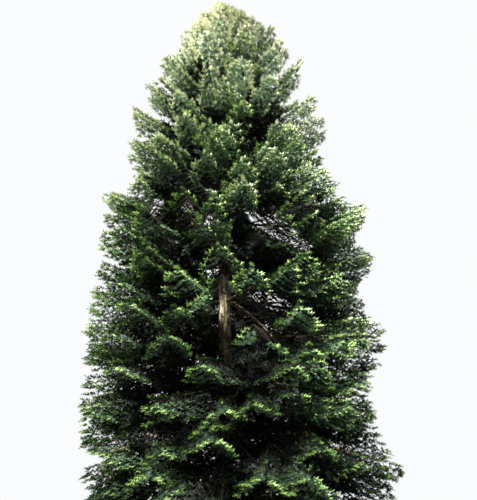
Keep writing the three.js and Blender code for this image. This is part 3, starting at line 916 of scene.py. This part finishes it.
def shoots_on(limb, twigs, draw, settings):
    """Shoots along the twigs, on both hands, with one at each twig's end, and a ridge of them on the limb."""
    def group(root, ahead, side, length, fresh, behind, bulk):
        # Painted shade: the further behind the limb's tip, the darker the needles' tones.
        shade = np.clip((behind - SHADE_START) / SHADE_RUN, 0, LEAFY_SHADE)
        return Shoots(root, ahead, side, length, fresh, shade, limb.light + 0 * behind, bulk + 0 * behind)

    height = limb.level()
    pitch = settings.shoot_pitch
    stations = int(math.ceil(twigs.length.max() / pitch))
    back = (np.arange(stations)[None, :] + 0.5) * pitch
    back = back + draw.uniform(-SHOOT_JITTER, SHOOT_JITTER, (len(twigs.length), stations)) * pitch
    share = 1 - back / twigs.length[:, None]
    wide = twigs.repeated(stations)
    ahead = wide.directions(share)
    side = unit(np.cross(wide.flat(), ahead))
    groups = []
    for hand in (-1.0, 1.0):
        lean = math.radians(SHOOT_ANGLE) + draw.normal(0, SHOOT_ANGLE_SPREAD, share.shape)
        turned = ahead * np.cos(lean)[..., None] + side * (hand * np.sin(lean))[..., None]
        turned[..., 2] -= SHOOT_SAG
        turned = unit(turned)
        length = np.minimum(settings.shoot_length, SHOOT_LEAST + SHOOT_TAPER * back)
        length = length * draw.uniform(*SHOOT_SIZES, share.shape)
        fresh = fresh_pairs(draw, height, back, wide.behind)
        across = unit(np.cross(wide.flat(), turned))
        along = group(wide.points(share), turned, across, length, fresh, wide.behind, 1)
        groups.append(rows_of(along, share > BARE_FOOT))

    at = np.maximum(1 - TUFT_PLACE / twigs.length, TUFT_LEAST)
    ahead = lifted(twigs.directions(at))
    side = unit(np.cross(twigs.flat(), ahead))
    length = settings.shoot_length * draw.uniform(*TUFT_SIZES, len(at))
    fresh = fresh_pairs(draw, height, 0 * at, twigs.behind)
    fresh = np.where(twigs.behind < FRESH_ZONE, NEEDLE_PAIRS - 1, fresh)
    groups.append(group(twigs.points(at), ahead, side, length, fresh, twigs.behind, TUFT_BULK))

    ahead = lifted(twigs.ahead + draw.normal(0, RIDGE_SPREAD, twigs.ahead.shape))
    length = settings.shoot_length * draw.uniform(*RIDGE_SIZES, len(at))
    fresh = fresh_pairs(draw, height, 0 * at + RIDGE_BACK, twigs.behind)
    groups.append(group(twigs.root, ahead, level_side(ahead), length, fresh, twigs.behind, TUFT_BULK))
    return Shoots(*joined_rows(groups))


def lifted(ahead):
    """Directions turned up a little."""
    return unit(ahead + (0, 0, TUFT_LIFT))


def inner_shoots(limb, twigs, draw, settings):
    """Big dark sprays on the inner twigs, the shaded needles that close the view into the crown."""
    count = len(twigs.length)
    groups = []
    for share in INNER_PLACES:
        at = np.full(count, share)
        ahead = unit(twigs.directions(at) + draw.normal(0, INNER_SPREAD, (count, 3)))
        length = settings.inner_length * draw.uniform(*INNER_SIZES, count)
        groups.append((twigs.points(at), ahead, level_side(ahead), length, np.zeros(count, int),
                       np.ones(count), limb.light + 0 * at, np.full(count, INNER_BULK)))
    return Shoots(*joined_rows(groups))


def under_top(points):
    """Which points stand below the dome's foot or inside the dome's outline."""
    beside = np.linalg.norm(off_trunk(points), axis=1)
    reach = outline_reach(points[:, 2], np.arctan2(points[:, 1], points[:, 0]))
    return (points[:, 2] < DOME_FOOT) | (beside < reach + DOME_SLACK)


def open_places(points):
    """Which points leave the trunk's window free and stay under the leader and above the ground."""
    across, height = seen_from_front(points)
    half_width = np.where(height < WINDOW_NARROWS, WINDOW_HALF_WIDTH, WINDOW_HALF_NARROW)
    edge = half_width + WINDOW_ROUGHNESS * np.sin(height * WINDOW_WAVES)
    in_window = (np.abs(across - WINDOW_PLACE) < edge) & (height > WINDOW_LOW) & (height < WINDOW_HIGH)
    shown_ends = np.stack(seen_from_front(BARE_ENDS), axis=-1)
    in_window |= beside_line(np.stack([across, height], axis=-1), shown_ends) < BARE_CLEARING
    inside = under_top(points) & (points[:, 2] < TREE_HEIGHT - LEADER_GAP) & (points[:, 2] > GROUND_GAP)
    before = (SUNLIT_DEPTH - points[:, 1]) / -SUN_WAY.y
    shadow = points - before[:, None] * np.array(SUN_WAY)
    sunlit = (np.abs(shadow[:, 0] - SUNLIT_PLACE) < SUNLIT_HALF_WIDTH) & (before > 0)
    sunlit &= (shadow[:, 2] > SUNLIT_LOW) & (shadow[:, 2] < SUNLIT_HIGH)
    seen_by_sun = points @ SUN_FRAME
    bough_by_sun = BARE_ENDS @ SUN_FRAME
    over_bough = beside_line(seen_by_sun[:, :2], bough_by_sun[:, :2]) < BARE_CLEARING
    sunlit |= over_bough & (seen_by_sun[:, 2] > bough_by_sun[:, 2].mean())
    return inside & ~(in_window & (points[:, 1] < WINDOW_DEPTH)) & ~sunlit


def beside_line(places, ends):
    """How far places on a plane lie from the line between two ends."""
    span = ends[1] - ends[0]
    share = np.clip((places - ends[0]) @ span / (span @ span), 0, 1)
    return np.linalg.norm(places - ends[0] - share[:, None] * span, axis=1)


def gap_fan(gap, pitch, depths, draw):
    """Curves of the bare shaded twigs that cross one gap, hanging outwards."""
    place, level, half_length, half_width, tilt = gap
    count = int(2 * half_length / pitch)
    turn = math.radians(tilt)
    along = draw.uniform(-1, 1, count) * half_length
    aside = draw.uniform(*FAN_STARTS, count) * half_width
    across = place + along * math.cos(turn) - aside * math.sin(turn)
    height = level + along * math.sin(turn) + aside * math.cos(turn)
    slope = np.radians(draw.uniform(*FAN_SLOPES, count))
    length = draw.uniform(*FAN_LENGTHS, count) * min(1, 2 * half_width)
    depth = draw.uniform(*depths, count)
    hand = 1 if place > 0 else -1
    shares = np.linspace(0, 1, FAN_POINTS)
    reach = length[:, None] * shares
    across = across[:, None] + hand * reach * np.cos(slope)[:, None]
    height = height[:, None] + reach * np.sin(slope)[:, None] - FAN_FALL * length[:, None] * shares**2
    return placed_from_front(across, height, depth[:, None] + 0 * across)


def in_ovals(points, ovals):
    """Which points show inside tilted ovals from the photograph's viewpoint."""
    across, height = seen_from_front(points)
    across = across + OVAL_ROUGHNESS * np.sin(height * OVAL_WAVES)
    inside = np.zeros(len(points), bool)
    for place, level, half_length, half_width, tilt in ovals:
        turn = math.radians(tilt)
        along = (across - place) * math.cos(turn) + (height - level) * math.sin(turn)
        aside = (height - level) * math.cos(turn) - (across - place) * math.sin(turn)
        inside |= (along / half_length) ** 2 + (aside / half_width) ** 2 < 1
    return inside


def kept(shoots, draw):
    """The shoots that leave the windows free with both ends, and few of those in the gaps and hollows."""
    ends = shoots.root + shoots.ahead * (shoots.length + NEEDLE_OVERHANG)[:, None]
    keep = open_places(shoots.root) & open_places(ends) & (room_at_edge(ends) > -EDGE_MARGIN)
    in_gap = in_ovals(shoots.root, CLEAR_GAPS) | in_ovals(ends, CLEAR_GAPS)
    hollow = in_ovals(ends, HOLLOWS) & (ends[:, 1] < HOLLOW_DEPTHS[0]) & (shoots.shade < 1)
    keep &= ~(in_gap | hollow) | (draw.uniform(0, 1, len(keep)) > GAP_THINNING)
    return rows_of(shoots, keep)


class Crown(NamedTuple):
    limbs: list
    twigs: list
    shoots: list
    inner_twigs: list
    inner_shoots: list


@functools.cache
def grow_crown(settings):
    """Grows every limb beyond the main boughs, with its side twigs and shoots."""
    draw = np.random.default_rng(SEED)
    crown = Crown([], [], [], [], [])

    def add_leafy(limb):
        leafy = leafy_part(limb, settings)
        add_limb(crown, limb, leafy, min(longest_twig(limb, settings), TWIG_SHARE * leafy), draw, settings)

    for bough in grow_boughs():
        line = fitted(bough.points(ALONG), bough.number)
        add_leafy(Limb(bough.tier.index, line, bough.radius(0), 0.0, own_light(bough.number), False))
        for limb in source_forks(bough) + fine_forks(bough):
            add_leafy(limb)
        for limb in inner_limbs(bough):
            add_limb(crown, limb, 0, longest_twig(limb, settings), draw, settings)
    for limb in plume_limbs():
        add_leafy(limb)
    for limb in dome_limbs():
        leafy = min(DOME_LEAFY_SHARE * limb.length(), settings.high_leafy)
        add_limb(crown, limb, leafy, min(settings.high_twig, DOME_TWIG_SHARE * leafy), draw, settings)
    return crown


def add_limb(crown, limb, leafy, longest, draw, settings):
    """Adds a limb with leafy twigs on its outer part and shaded ones on the rest."""
    crown.limbs.append(limb)
    if leafy > 0:
        twigs = side_twigs(limb, 0, leafy, settings.twig_pitch, longest, draw, settings)
        crown.twigs.append(twigs)
        crown.shoots.append((limb.tier, kept(shoots_on(limb, twigs, draw, settings), draw)))
    inner_end = limb.length() - BARE_TIP
    if inner_end > leafy:
        inner = side_twigs(limb, leafy, inner_end, settings.inner_pitch, longest, draw, settings)
        crown.inner_twigs.append(inner)
        shoots = kept(inner_shoots(limb, inner, draw, settings), draw)
        offset = off_trunk(shoots.root)
        height = shoots.root[:, 2]
        reach = outline_reach(height, np.arctan2(offset[:, 1], offset[:, 0]))
        zone = np.interp(height, (INNER_SHOULDER, INNER_TOP), INNER_ZONE)
        deep = (np.hypot(*offset.T) < zone * reach) & (height < INNER_TOP)
        crown.inner_shoots.append((limb.tier, rows_of(shoots, deep)))


def needle_blades(shoots, pairs, needle_length, draw):
    """Vertices, triangles, and each triangle's place in its shoot and its rank. A shoot's needles share
    points on its line."""
    up = np.cross(shoots.ahead, shoots.side)
    up = up * np.where(up[:, 2:] < 0, -1.0, 1.0)
    along = np.linspace(0, 1, pairs + 1)
    spine = shoots.root[:, None] + shoots.ahead[:, None] * (shoots.length[:, None] * along)[..., None]
    middle = (along[:-1] + along[1:]) / 2
    lean = np.radians(mix_between(*NEEDLE_LEANS, middle))
    first, swell, fall = NEEDLE_SWELL
    size = needle_length * (first + swell * middle - fall * middle**2) * shoots.bulk[:, None]
    foot = np.arange(pairs)
    vertices, faces = [spine], []
    for rank, (hand, tilt) in enumerate(NEEDLE_RANKS):
        hands = np.full(pairs, hand) if hand else np.where(foot % 2, 1.0, -1.0)
        rise = math.radians(tilt)
        sideways = (shoots.side[:, None] * (hands * math.cos(rise))[None, :, None]
                    + up[:, None] * math.sin(rise))
        tips = shoots.root[:, None] + shoots.ahead[:, None] * (
            shoots.length[:, None] * middle + size * np.cos(lean))[..., None]
        tips = tips + sideways * (size * np.sin(lean))[..., None]
        vertices.append(tips + draw.normal(0, needle_length * NEEDLE_SCATTER, tips.shape))
        tip = pairs + 1 + rank * pairs + foot
        order = (foot, foot + 1, tip) if hand >= 0 else (foot + 1, foot, tip)
        faces.append(np.stack(order, axis=-1))
    block = np.concatenate(vertices, axis=1)
    offsets = np.arange(len(block))[:, None, None] * block.shape[1]
    ranks = np.arange(len(NEEDLE_RANKS))
    return (block.reshape(-1, 3), (np.concatenate(faces)[None] + offsets).reshape(-1, 3),
            np.tile(foot, len(ranks)), np.repeat(ranks, pairs))


def twig_tubes(curves, radii):
    """Three-sided tapering tubes along many curves at once, closed to a point at their tips."""
    count, steps, _ = curves.shape
    ahead = unit(np.gradient(curves, axis=1))
    side = unit(np.stack([-ahead[..., 1], ahead[..., 0], 1e-6 + 0 * ahead[..., 0]], axis=-1))
    up = np.cross(ahead, side)
    turns = np.radians([90, 210, 330])
    ring = side[:, :-1, None] * np.cos(turns)[:, None] + up[:, :-1, None] * np.sin(turns)[:, None]
    skin = curves[:, :-1, None] + ring * radii[:, :-1, None, None]
    points = np.concatenate([skin.reshape(count, -1, 3), curves[:, -1:]], axis=1)
    faces = [(0, 2, 1)]
    for step in range(steps - 2):
        for corner in range(3):
            here, beside = step * 3 + corner, step * 3 + (corner + 1) % 3
            faces += [(here, beside, beside + 3), (here, beside + 3, here + 3)]
    last = (steps - 2) * 3
    faces += [(last + corner, last + (corner + 1) % 3, (steps - 1) * 3) for corner in range(3)]
    offsets = np.arange(count)[:, None, None] * points.shape[1]
    return points.reshape(-1, 3), (np.array(faces)[None] + offsets).reshape(-1, 3)


def add_object(name, data):
    made = bpy.data.objects.new(name, data)
    bpy.context.scene.collection.objects.link(made)
    return made


def mesh_from_arrays(name, vertices, triangles, slots=None):
    """A mesh object from arrays of points, triangles and each triangle's material slot."""
    mesh = bpy.data.meshes.new(name)
    mesh.vertices.add(len(vertices))
    mesh.vertices.foreach_set("co", vertices.astype(np.float32).ravel())
    mesh.loops.add(triangles.size)
    mesh.loops.foreach_set("vertex_index", triangles.astype(np.int32).ravel())
    mesh.polygons.add(len(triangles))
    mesh.polygons.foreach_set("loop_start", np.arange(0, triangles.size, 3, dtype=np.int32))
    if slots is not None:
        mesh.polygons.foreach_set("material_index", slots.astype(np.int32))
    mesh.update(calc_edges=True)
    mesh.validate()
    return add_object(name, mesh)


def limb_sleeve(shape, centres, radii, sides, level=False):
    """Extrudes a ring of edges along a line of centres in a bmesh, closed at both ends. The rings turn with
    the line, unless they are to lie level."""
    ahead = (centres[1] - centres[0]).normalized()
    stand = Matrix() if level else ahead.to_track_quat("Z", "Y").to_matrix().to_4x4()
    ring = bmesh.ops.create_circle(
        shape, segments=sides, radius=radii[0], matrix=Matrix.Translation(centres[0]) @ stand)["verts"]
    edges = list(dict.fromkeys(edge for vertex in ring for edge in vertex.link_edges))
    bmesh.ops.contextual_create(shape, geom=edges)
    made = list(ring)
    for i in range(1, len(centres)):
        grown = bmesh.ops.extrude_edge_only(shape, edges=edges)["geom"]
        ring = [part for part in grown if isinstance(part, bmesh.types.BMVert)]
        edges = [part for part in grown if isinstance(part, bmesh.types.BMEdge)]
        made += ring
        bmesh.ops.translate(shape, verts=ring, vec=centres[i] - centres[i - 1])
        size = radii[i] / radii[i - 1]
        bmesh.ops.scale(shape, verts=ring, vec=(size, size, size), space=Matrix.Translation(-centres[i]))
        if not level:
            onwards = (centres[min(i + 1, len(centres) - 1)] - centres[i - 1]).normalized()
            turn = ahead.rotation_difference(onwards).to_matrix()
            bmesh.ops.rotate(shape, verts=ring, cent=centres[i], matrix=turn)
            ahead = onwards
    bmesh.ops.contextual_create(shape, geom=edges)
    return made


def piece_from_bmesh(name, shape, materials):
    """A smooth piece from a bmesh, with its faces turned outwards."""
    bmesh.ops.recalc_face_normals(shape, faces=shape.faces)
    mesh = bpy.data.meshes.new(name)
    shape.to_mesh(mesh)
    shape.free()
    mesh.shade_smooth()
    for material in materials:
        mesh.materials.append(material)
    return add_object(name, mesh)


def nodes_named(start):
    return [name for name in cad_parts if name.startswith(start)]


def add_node(tree, kind, settings=None, **links):
    """Adds a node, sets its properties and sockets, and links sockets by name from other nodes' outputs."""
    node = tree.nodes.new(kind)
    for key, value in (settings or {}).items():
        if isinstance(key, str) and hasattr(node, key):
            setattr(node, key, value)
        else:
            node.inputs[key].default_value = value
    for socket, source in links.items():
        tree.links.new(source, node.inputs[socket.replace("_", " ")])
    return node


def new_material(name):
    material = bpy.data.materials.new(name)
    material.use_nodes = True
    material.node_tree.nodes.clear()
    return material, material.node_tree


def plain_material(name, settings):
    """A material that is one surface with the same settings all over."""
    material, tree = new_material(name)
    surface = add_node(tree, "ShaderNodeBsdfPrincipled", settings)
    add_node(tree, "ShaderNodeOutputMaterial", Surface=surface.outputs["BSDF"])
    return material


def needle_material(name, colour, roughness, coat):
    """Living conifer needle: a leathery leaf under a thin wax film, which gives a soft broken gloss."""
    return plain_material(name, {
        "Base Color": colour, "Roughness": roughness, "IOR": 1.35,
        "Coat Weight": coat, "Coat Roughness": 0.35,
    })


def floor_material(colour):
    """Matt studio paint: an even pale ground that shows the tree's shadow softly."""
    return plain_material("matt_studio_paint", {"Base Color": linear(colour), "Roughness": 0.95})


def bark_material(name, colours, streak, plate):
    """Old conifer bark: matt cork plates with tan streaks down the stem and dark cracks between them. The
    length of a streak and the width of a plate are in millimetres."""
    material, tree = new_material(name)
    place = add_node(tree, "ShaderNodeTexCoord")
    stretched = add_node(tree, "ShaderNodeMapping", {"Scale": (1000 / plate, 1000 / plate, 1000 / streak)},
                         Vector=place.outputs["Object"])
    plates = add_node(tree, "ShaderNodeTexNoise", {"Scale": 1.0, "Detail": 5.0, "Roughness": 0.6},
                      Vector=stretched.outputs["Vector"])
    cracks = add_node(tree, "ShaderNodeTexVoronoi", {"feature": "DISTANCE_TO_EDGE", "Scale": 0.8},
                      Vector=stretched.outputs["Vector"])
    ramp = add_node(tree, "ShaderNodeValToRGB", Fac=plates.outputs["Fac"])
    dark, body, streaks = (linear(colour) for colour in colours.split())
    stops = ramp.color_ramp.elements
    stops[0].position = 0.38
    stops[0].color = dark
    stops[1].position = 0.64
    stops[1].color = streaks
    stops.new(0.5).color = body
    open_crack = add_node(tree, "ShaderNodeMapRange", {"From Max": 0.12, "To Min": 0.25},
                          Value=cracks.outputs["Distance"])
    cracked = add_node(tree, "ShaderNodeMix", {"data_type": "RGBA", "blend_type": "MULTIPLY", 0: 1.0})
    tree.links.new(ramp.outputs["Color"], cracked.inputs[6])
    tree.links.new(open_crack.outputs["Result"], cracked.inputs[7])
    bump = add_node(tree, "ShaderNodeBump", {"Strength": 0.8, "Distance": 0.02},
                    Height=cracks.outputs["Distance"])
    surface = add_node(tree, "ShaderNodeBsdfPrincipled", {"Roughness": 0.9, "IOR": 1.5},
                       Base_Color=cracked.outputs[2], Normal=bump.outputs["Normal"])
    add_node(tree, "ShaderNodeOutputMaterial", Surface=surface.outputs["BSDF"])
    return material


def zone_tones(colours, zone, kind):
    """The colours of one kind of needle in one zone, mixed from those given above and below it."""
    share = (zone + 0.5) / ZONES
    names, levels = list(TONE_LEVELS), list(TONE_LEVELS.values())
    above = next(i for i, level in enumerate(levels) if level > share)
    low, high = (np.array([linear(tone) for tone in getattr(colours, f"{name}_{kind}").split()])
                 for name in names[above - 1:above + 1])
    return mix_between(low, high, (share - levels[above - 1]) / (levels[above] - levels[above - 1]))


def needle_materials(colours):
    """All needle materials in slot order, and where each zone's kinds start with how many tones."""
    made, places = [needle_material("needle_inner_shade", linear(colours.inner), *INNER_FINISH)], {}
    for zone in range(ZONES):
        for kind, look in NEEDLE_FINISH.items():
            zone_colours = zone_tones(colours, zone, kind)
            places[zone, kind] = (len(made), len(zone_colours))
            for i, tone in enumerate(zone_colours):
                made.append(needle_material(f"needle_{kind}_zone_{zone + 1}_tone_{i + 1}", tone, *look))
    return made, places


def needle_slots(shoots, pairs, pair_of, rank_of, places, draw):
    """The material slot of each needle, by its shoot's height and depth in the crown, its rank and age."""
    count = len(shoots.length)
    height = shoots.root[:, 2] / TREE_HEIGHT + ZONE_SPREAD * shoots.light
    height = height + draw.normal(0, ZONE_SCATTER, count)
    zone = np.clip((height * ZONES).astype(int), 0, ZONES - 1)
    # Painted shade and light: darker deeper in the crown, lighter or darker by the limb's own lightness.
    bright = BRIGHT_FACE - BRIGHT_SHADED * shoots.shade + BRIGHT_LIMB * shoots.light
    bright = np.clip(bright + draw.uniform(-BRIGHT_SCATTER, BRIGHT_SCATTER, count), 0, BRIGHTEST)
    slots = np.zeros((count, len(pair_of)), int)
    is_new = pair_of[None, :] >= pairs - shoots.fresh[:, None]
    lower = rank_of[None, :] < len(NEEDLE_RANKS) - 1
    for number in range(ZONES):
        old, under, new = (
            (places[number, kind][0] + np.floor(bright * places[number, kind][1]).astype(int))[:, None]
            for kind in NEEDLE_FINISH)
        chosen = np.where(is_new, new, np.where(lower, under, old))
        slots[zone == number] = chosen[zone == number]
    # Painted shade: most inner sprays take the near-black inner tone.
    dark = (shoots.shade[:, None] > LEAFY_SHADE) & (draw.uniform(0, 1, (count, 1)) < DARKEST_SHARE)
    return np.where(dark, 0, slots)


def add_light(name, kind, way, **settings):
    """A light that shines from a direction."""
    light = bpy.data.lights.new(name, kind)
    for key, value in settings.items():
        setattr(light, key, value)
    lamp = add_object(name, light)
    lamp.rotation_euler = way.to_track_quat("Z", "Y").to_euler()
    return lamp


class FIR_OT_stage(bpy.types.Operator):
    """Makes the pale floor, the soft lights and the camera at the photograph's viewing angle"""

    bl_idname = "fir.stage"
    bl_label = "Add stage"

    def execute(self, context):
        chosen = context.scene.fir_stage
        shape = bmesh.new()
        bmesh.ops.create_circle(shape, cap_ends=True, segments=96, radius=chosen.floor_radius)
        floor = piece_from_bmesh("floor", shape, [floor_material(chosen.floor_colour)])
        floor.visible_diffuse = False  # so that little light comes up from below
        camera_data = bpy.data.cameras.new("camera")
        camera_data.lens = LENS
        camera_data.sensor_width = SENSOR
        camera_data.clip_end = CLIP_END
        camera = add_object("camera", camera_data)
        camera.location = EYE
        camera.rotation_euler = (math.radians(90 + EYE_PITCH), 0, 0)
        context.scene.camera = camera
        add_light("key_light", "SUN", SUN_WAY, energy=chosen.sun_strength, angle=chosen.sun_width,
                  color=chosen.sun_colour)
        add_light("fill_light", "SUN", FILL_WAY, energy=chosen.fill_strength, angle=chosen.fill_width,
                  color=chosen.fill_colour)
        box = add_light("top_light", "AREA", BOX_PLACE - BOX_AIM, energy=chosen.box_power,
                        size=chosen.box_size)
        box.location = BOX_PLACE
        world = bpy.data.worlds.new("surround")
        world.use_nodes = True
        tree = world.node_tree
        tree.nodes.clear()
        pale = linear(chosen.surround_colour)
        light = add_node(tree, "ShaderNodeBackground", {"Color": pale, "Strength": chosen.surround_strength})
        backdrop = add_node(tree, "ShaderNodeBackground", {"Color": pale})
        rays = add_node(tree, "ShaderNodeLightPath")
        mixed = add_node(tree, "ShaderNodeMixShader", Fac=rays.outputs["Is Camera Ray"])
        tree.links.new(light.outputs["Background"], mixed.inputs[1])
        tree.links.new(backdrop.outputs["Background"], mixed.inputs[2])
        add_node(tree, "ShaderNodeOutputWorld", Surface=mixed.outputs["Shader"])
        context.scene.world = world
        context.scene.view_settings.view_transform = "Standard"
        return {"FINISHED"}


class FIR_OT_trunk(bpy.types.Operator):
    """Grows the trunk's bark from the cut at the ground to the tip, with ridges down the stem"""

    bl_idname = "fir.trunk"
    bl_label = "Add trunk"

    def execute(self, context):
        chosen = context.scene.fir_trunk
        heights = np.linspace(0, TREE_HEIGHT, int(TREE_HEIGHT / chosen.ring_pitch) + 1)
        centres = [Vector((*trunk_centre(height), height)) for height in heights]
        radii = [trunk_radius(height) for height in heights[:-1]] + [LEADER_RADIUS]
        shape = bmesh.new()
        limb_sleeve(shape, centres, radii, chosen.sides, level=True)
        for vertex in shape.verts:
            relieve_trunk(vertex, chosen.relief)
        bark = bark_material("fir_bark_old", context.scene.fir_colours.trunk, streak=600, plate=80)
        trunk = piece_from_bmesh("trunk_bark", shape, [bark])
        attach(trunk, "root")
        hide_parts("trunk")
        return {"FINISHED"}


def relieve_trunk(vertex, relief):
    """Moves one point of the trunk's skin, for the lobes of the root flare and the ridges down the stem."""
    height = vertex.co.z
    centre = Vector((*trunk_centre(height), height))
    out = vertex.co - centre
    around = math.atan2(out.y, out.x)
    lobe = FLARE_LOBE_DEPTH * math.exp(-height / FLARE_HEIGHT) * math.cos(FLARE_LOBES * around + 1)
    spot = Vector((vertex.co.x * RIDGES_ACROSS, vertex.co.y * RIDGES_ACROSS, height * RIDGES_UP))
    ridge = noise.noise(spot) + 0.5 * noise.noise(spot * FINE_RIDGES)
    size = 1 + lobe + relief * ridge * min(out.length / BREAST_RADIUS, 1) / max(out.length, 1e-3)
    vertex.co = centre + out * size


class FIR_OT_boughs(bpy.types.Operator):
    """Grows the main boughs' bark from the trunk to the tips of their masses, and the bare old bough"""

    bl_idname = "fir.boughs"
    bl_label = "Add boughs"

    def execute(self, context):
        chosen = context.scene.fir_trunk
        colours = context.scene.fir_colours
        shape = bmesh.new()
        for bough in grow_boughs():
            start = BOUGH_FOOT * trunk_radius(bough.tier.height(TRUNK_SIDE)) / bough.reach
            shares = np.linspace(start, BOUGH_END, BOUGH_RINGS)
            centres = [Vector(point) for point in fitted(bough.points(shares), bough.number)]
            limb_sleeve(shape, centres, [bough.radius(share) for share in shares], chosen.bough_sides)
        shares = np.linspace(0, 1, BARE_RINGS)
        line = BARE_ENDS[0] + (BARE_ENDS[1] - BARE_ENDS[0]) * shares[:, None]
        line[:, 2] += BARE_ARCH * np.sin(math.pi * shares)
        centres = [Vector(point) for point in line]
        bare = limb_sleeve(shape, centres, np.linspace(*BARE_RADII, BARE_RINGS).tolist(), chosen.bough_sides)
        # The bare bough takes the paler copy of the bough bark: partly weathered wood, partly painted
        # sunlight.
        for face in {face for vertex in bare for face in vertex.link_faces}:
            face.material_index = 1
        noise.seed_set(SEED)  # without it the relief is another one at each run
        for vertex in shape.verts:
            vertex.co += noise.noise_vector(vertex.co * BOUGH_BUMPS) * chosen.bough_relief
        bark = bark_material("fir_bark_bough", colours.bough, streak=200, plate=50)
        weathered = bark_material("fir_bark_weathered", colours.weathered, streak=300, plate=50)
        boughs = piece_from_bmesh("bough_bark", shape, [bark, weathered])
        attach(boughs, "root")
        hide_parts(*nodes_named("bough_"))
        return {"FINISHED"}


class FIR_OT_twigs(bpy.types.Operator):
    """Grows the forks and side twigs that carry the needles, as slim tapering tubes"""

    bl_idname = "fir.twigs"
    bl_label = "Add twigs"

    def execute(self, context):
        crown = grow_crown(foliage_settings(context))
        parts = []
        for twigs in crown.twigs + crown.inner_twigs:
            tips = twigs.points(np.ones(len(twigs.length)))
            clothed = (room_at_edge(tips) > -EDGE_MARGIN) & under_top(tips)
            long = (twigs.length > LONG_TWIG) & (twigs.behind < LONG_TWIG_ZONE)
            for rows, steps in ((clothed & long, 3), (clothed & ~long, 2)):
                if not rows.any():
                    continue
                mine = rows_of(twigs, rows).repeated(steps)
                share = np.broadcast_to(np.linspace(0, TWIG_END, steps), mine.length.shape)
                parts.append(twig_tubes(mine.points(share), mix_between(TWIG_RADIUS, TWIG_TIP_RADIUS, share)))
        steps = np.linspace(0, len(ALONG) - 1, LIMB_STEPS).astype(int)
        for limb in crown.limbs:
            radii = mix_between(limb.root_radius, LIMB_TIP_RADIUS, steps / (len(ALONG) - 1))
            parts.append(twig_tubes(limb.points[None, steps], radii[None]))
        draw = np.random.default_rng(SEED + 2)
        fans = [gap_fan(gap, FAN_PITCH, FAN_DEPTHS, draw) for gap in CLEAR_GAPS]
        fans += [gap_fan(gap, HOLLOW_PITCH, HOLLOW_DEPTHS, draw) for gap in HOLLOWS]
        for fan in fans:
            radii = np.broadcast_to(np.linspace(*FAN_RADII, fan.shape[1]), fan.shape[:2])
            parts.append(twig_tubes(fan, radii))
        offsets = np.cumsum([0] + [len(points) for points, _ in parts])
        points = np.concatenate([part[0] for part in parts])
        faces = np.concatenate([part[1] + offset for part, offset in zip(parts, offsets)])
        twigs = mesh_from_arrays("twigs", points, faces)
        bark = bark_material("fir_bark_twig", context.scene.fir_colours.twig, streak=100, plate=30)
        twigs.data.materials.append(bark)
        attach(twigs, "root")
        return {"FINISHED"}


class FIR_OT_needles(bpy.types.Operator):
    """Grows the needles of every tier, in shoots along the twigs"""

    bl_idname = "fir.needles"
    bl_label = "Add needles"

    def execute(self, context):
        settings = foliage_settings(context)
        crown = grow_crown(settings)
        draw = np.random.default_rng(SEED + 1)
        materials, places = needle_materials(context.scene.fir_colours)
        for tier in range(TIER_COUNT):
            parts = []
            for groups, pairs in ((crown.shoots, NEEDLE_PAIRS), (crown.inner_shoots, INNER_NEEDLE_PAIRS)):
                shoots = Shoots(*joined_rows([shoots for place, shoots in groups if place == tier]))
                points, faces, pair_of, rank_of = needle_blades(shoots, pairs, settings.needle_length, draw)
                slots = needle_slots(shoots, pairs, pair_of, rank_of, places, draw).ravel()
                parts.append((points, faces + sum(len(part[0]) for part in parts), slots))
            needles = mesh_from_arrays(f"needles_tier_{tier + 1}", *joined_rows(parts))
            for material in materials:
                needles.data.materials.append(material)
            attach(needles, "root")
            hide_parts(*nodes_named(f"foliage_{tier + 1}_"))
        return {"FINISHED"}


class FIR_PT_panel(bpy.types.Panel):
    bl_label = "Nordmann Fir"
    bl_idname = "FIR_PT_panel"
    bl_space_type = "VIEW_3D"
    bl_region_type = "UI"
    bl_category = "Fir"

    def draw(self, context):
        for operator in OPERATORS:
            self.layout.operator(operator.bl_idname)


OPERATORS = (FIR_OT_stage, FIR_OT_trunk, FIR_OT_boughs, FIR_OT_twigs, FIR_OT_needles)
SETTINGS = {
    "fir_trunk": FirTrunkSettings,
    "fir_foliage": FirFoliageSettings,
    "fir_colours": FirColours,
    "fir_stage": FirStageSettings,
}


def register():
    for kind in (*SETTINGS.values(), *OPERATORS, FIR_PT_panel):
        bpy.utils.register_class(kind)
    for name, kind in SETTINGS.items():
        setattr(bpy.types.Scene, name, bpy.props.PointerProperty(type=kind))


def unregister():
    for name in SETTINGS:
        delattr(bpy.types.Scene, name)
    for kind in (FIR_PT_panel, *OPERATORS, *SETTINGS.values()):
        bpy.utils.unregister_class(kind)


def main():
    register()
    bpy.ops.fir.stage()
    bpy.ops.fir.trunk()
    bpy.ops.fir.boughs()
    bpy.ops.fir.twigs()
    bpy.ops.fir.needles()


if __name__ == "__main__":
    main()
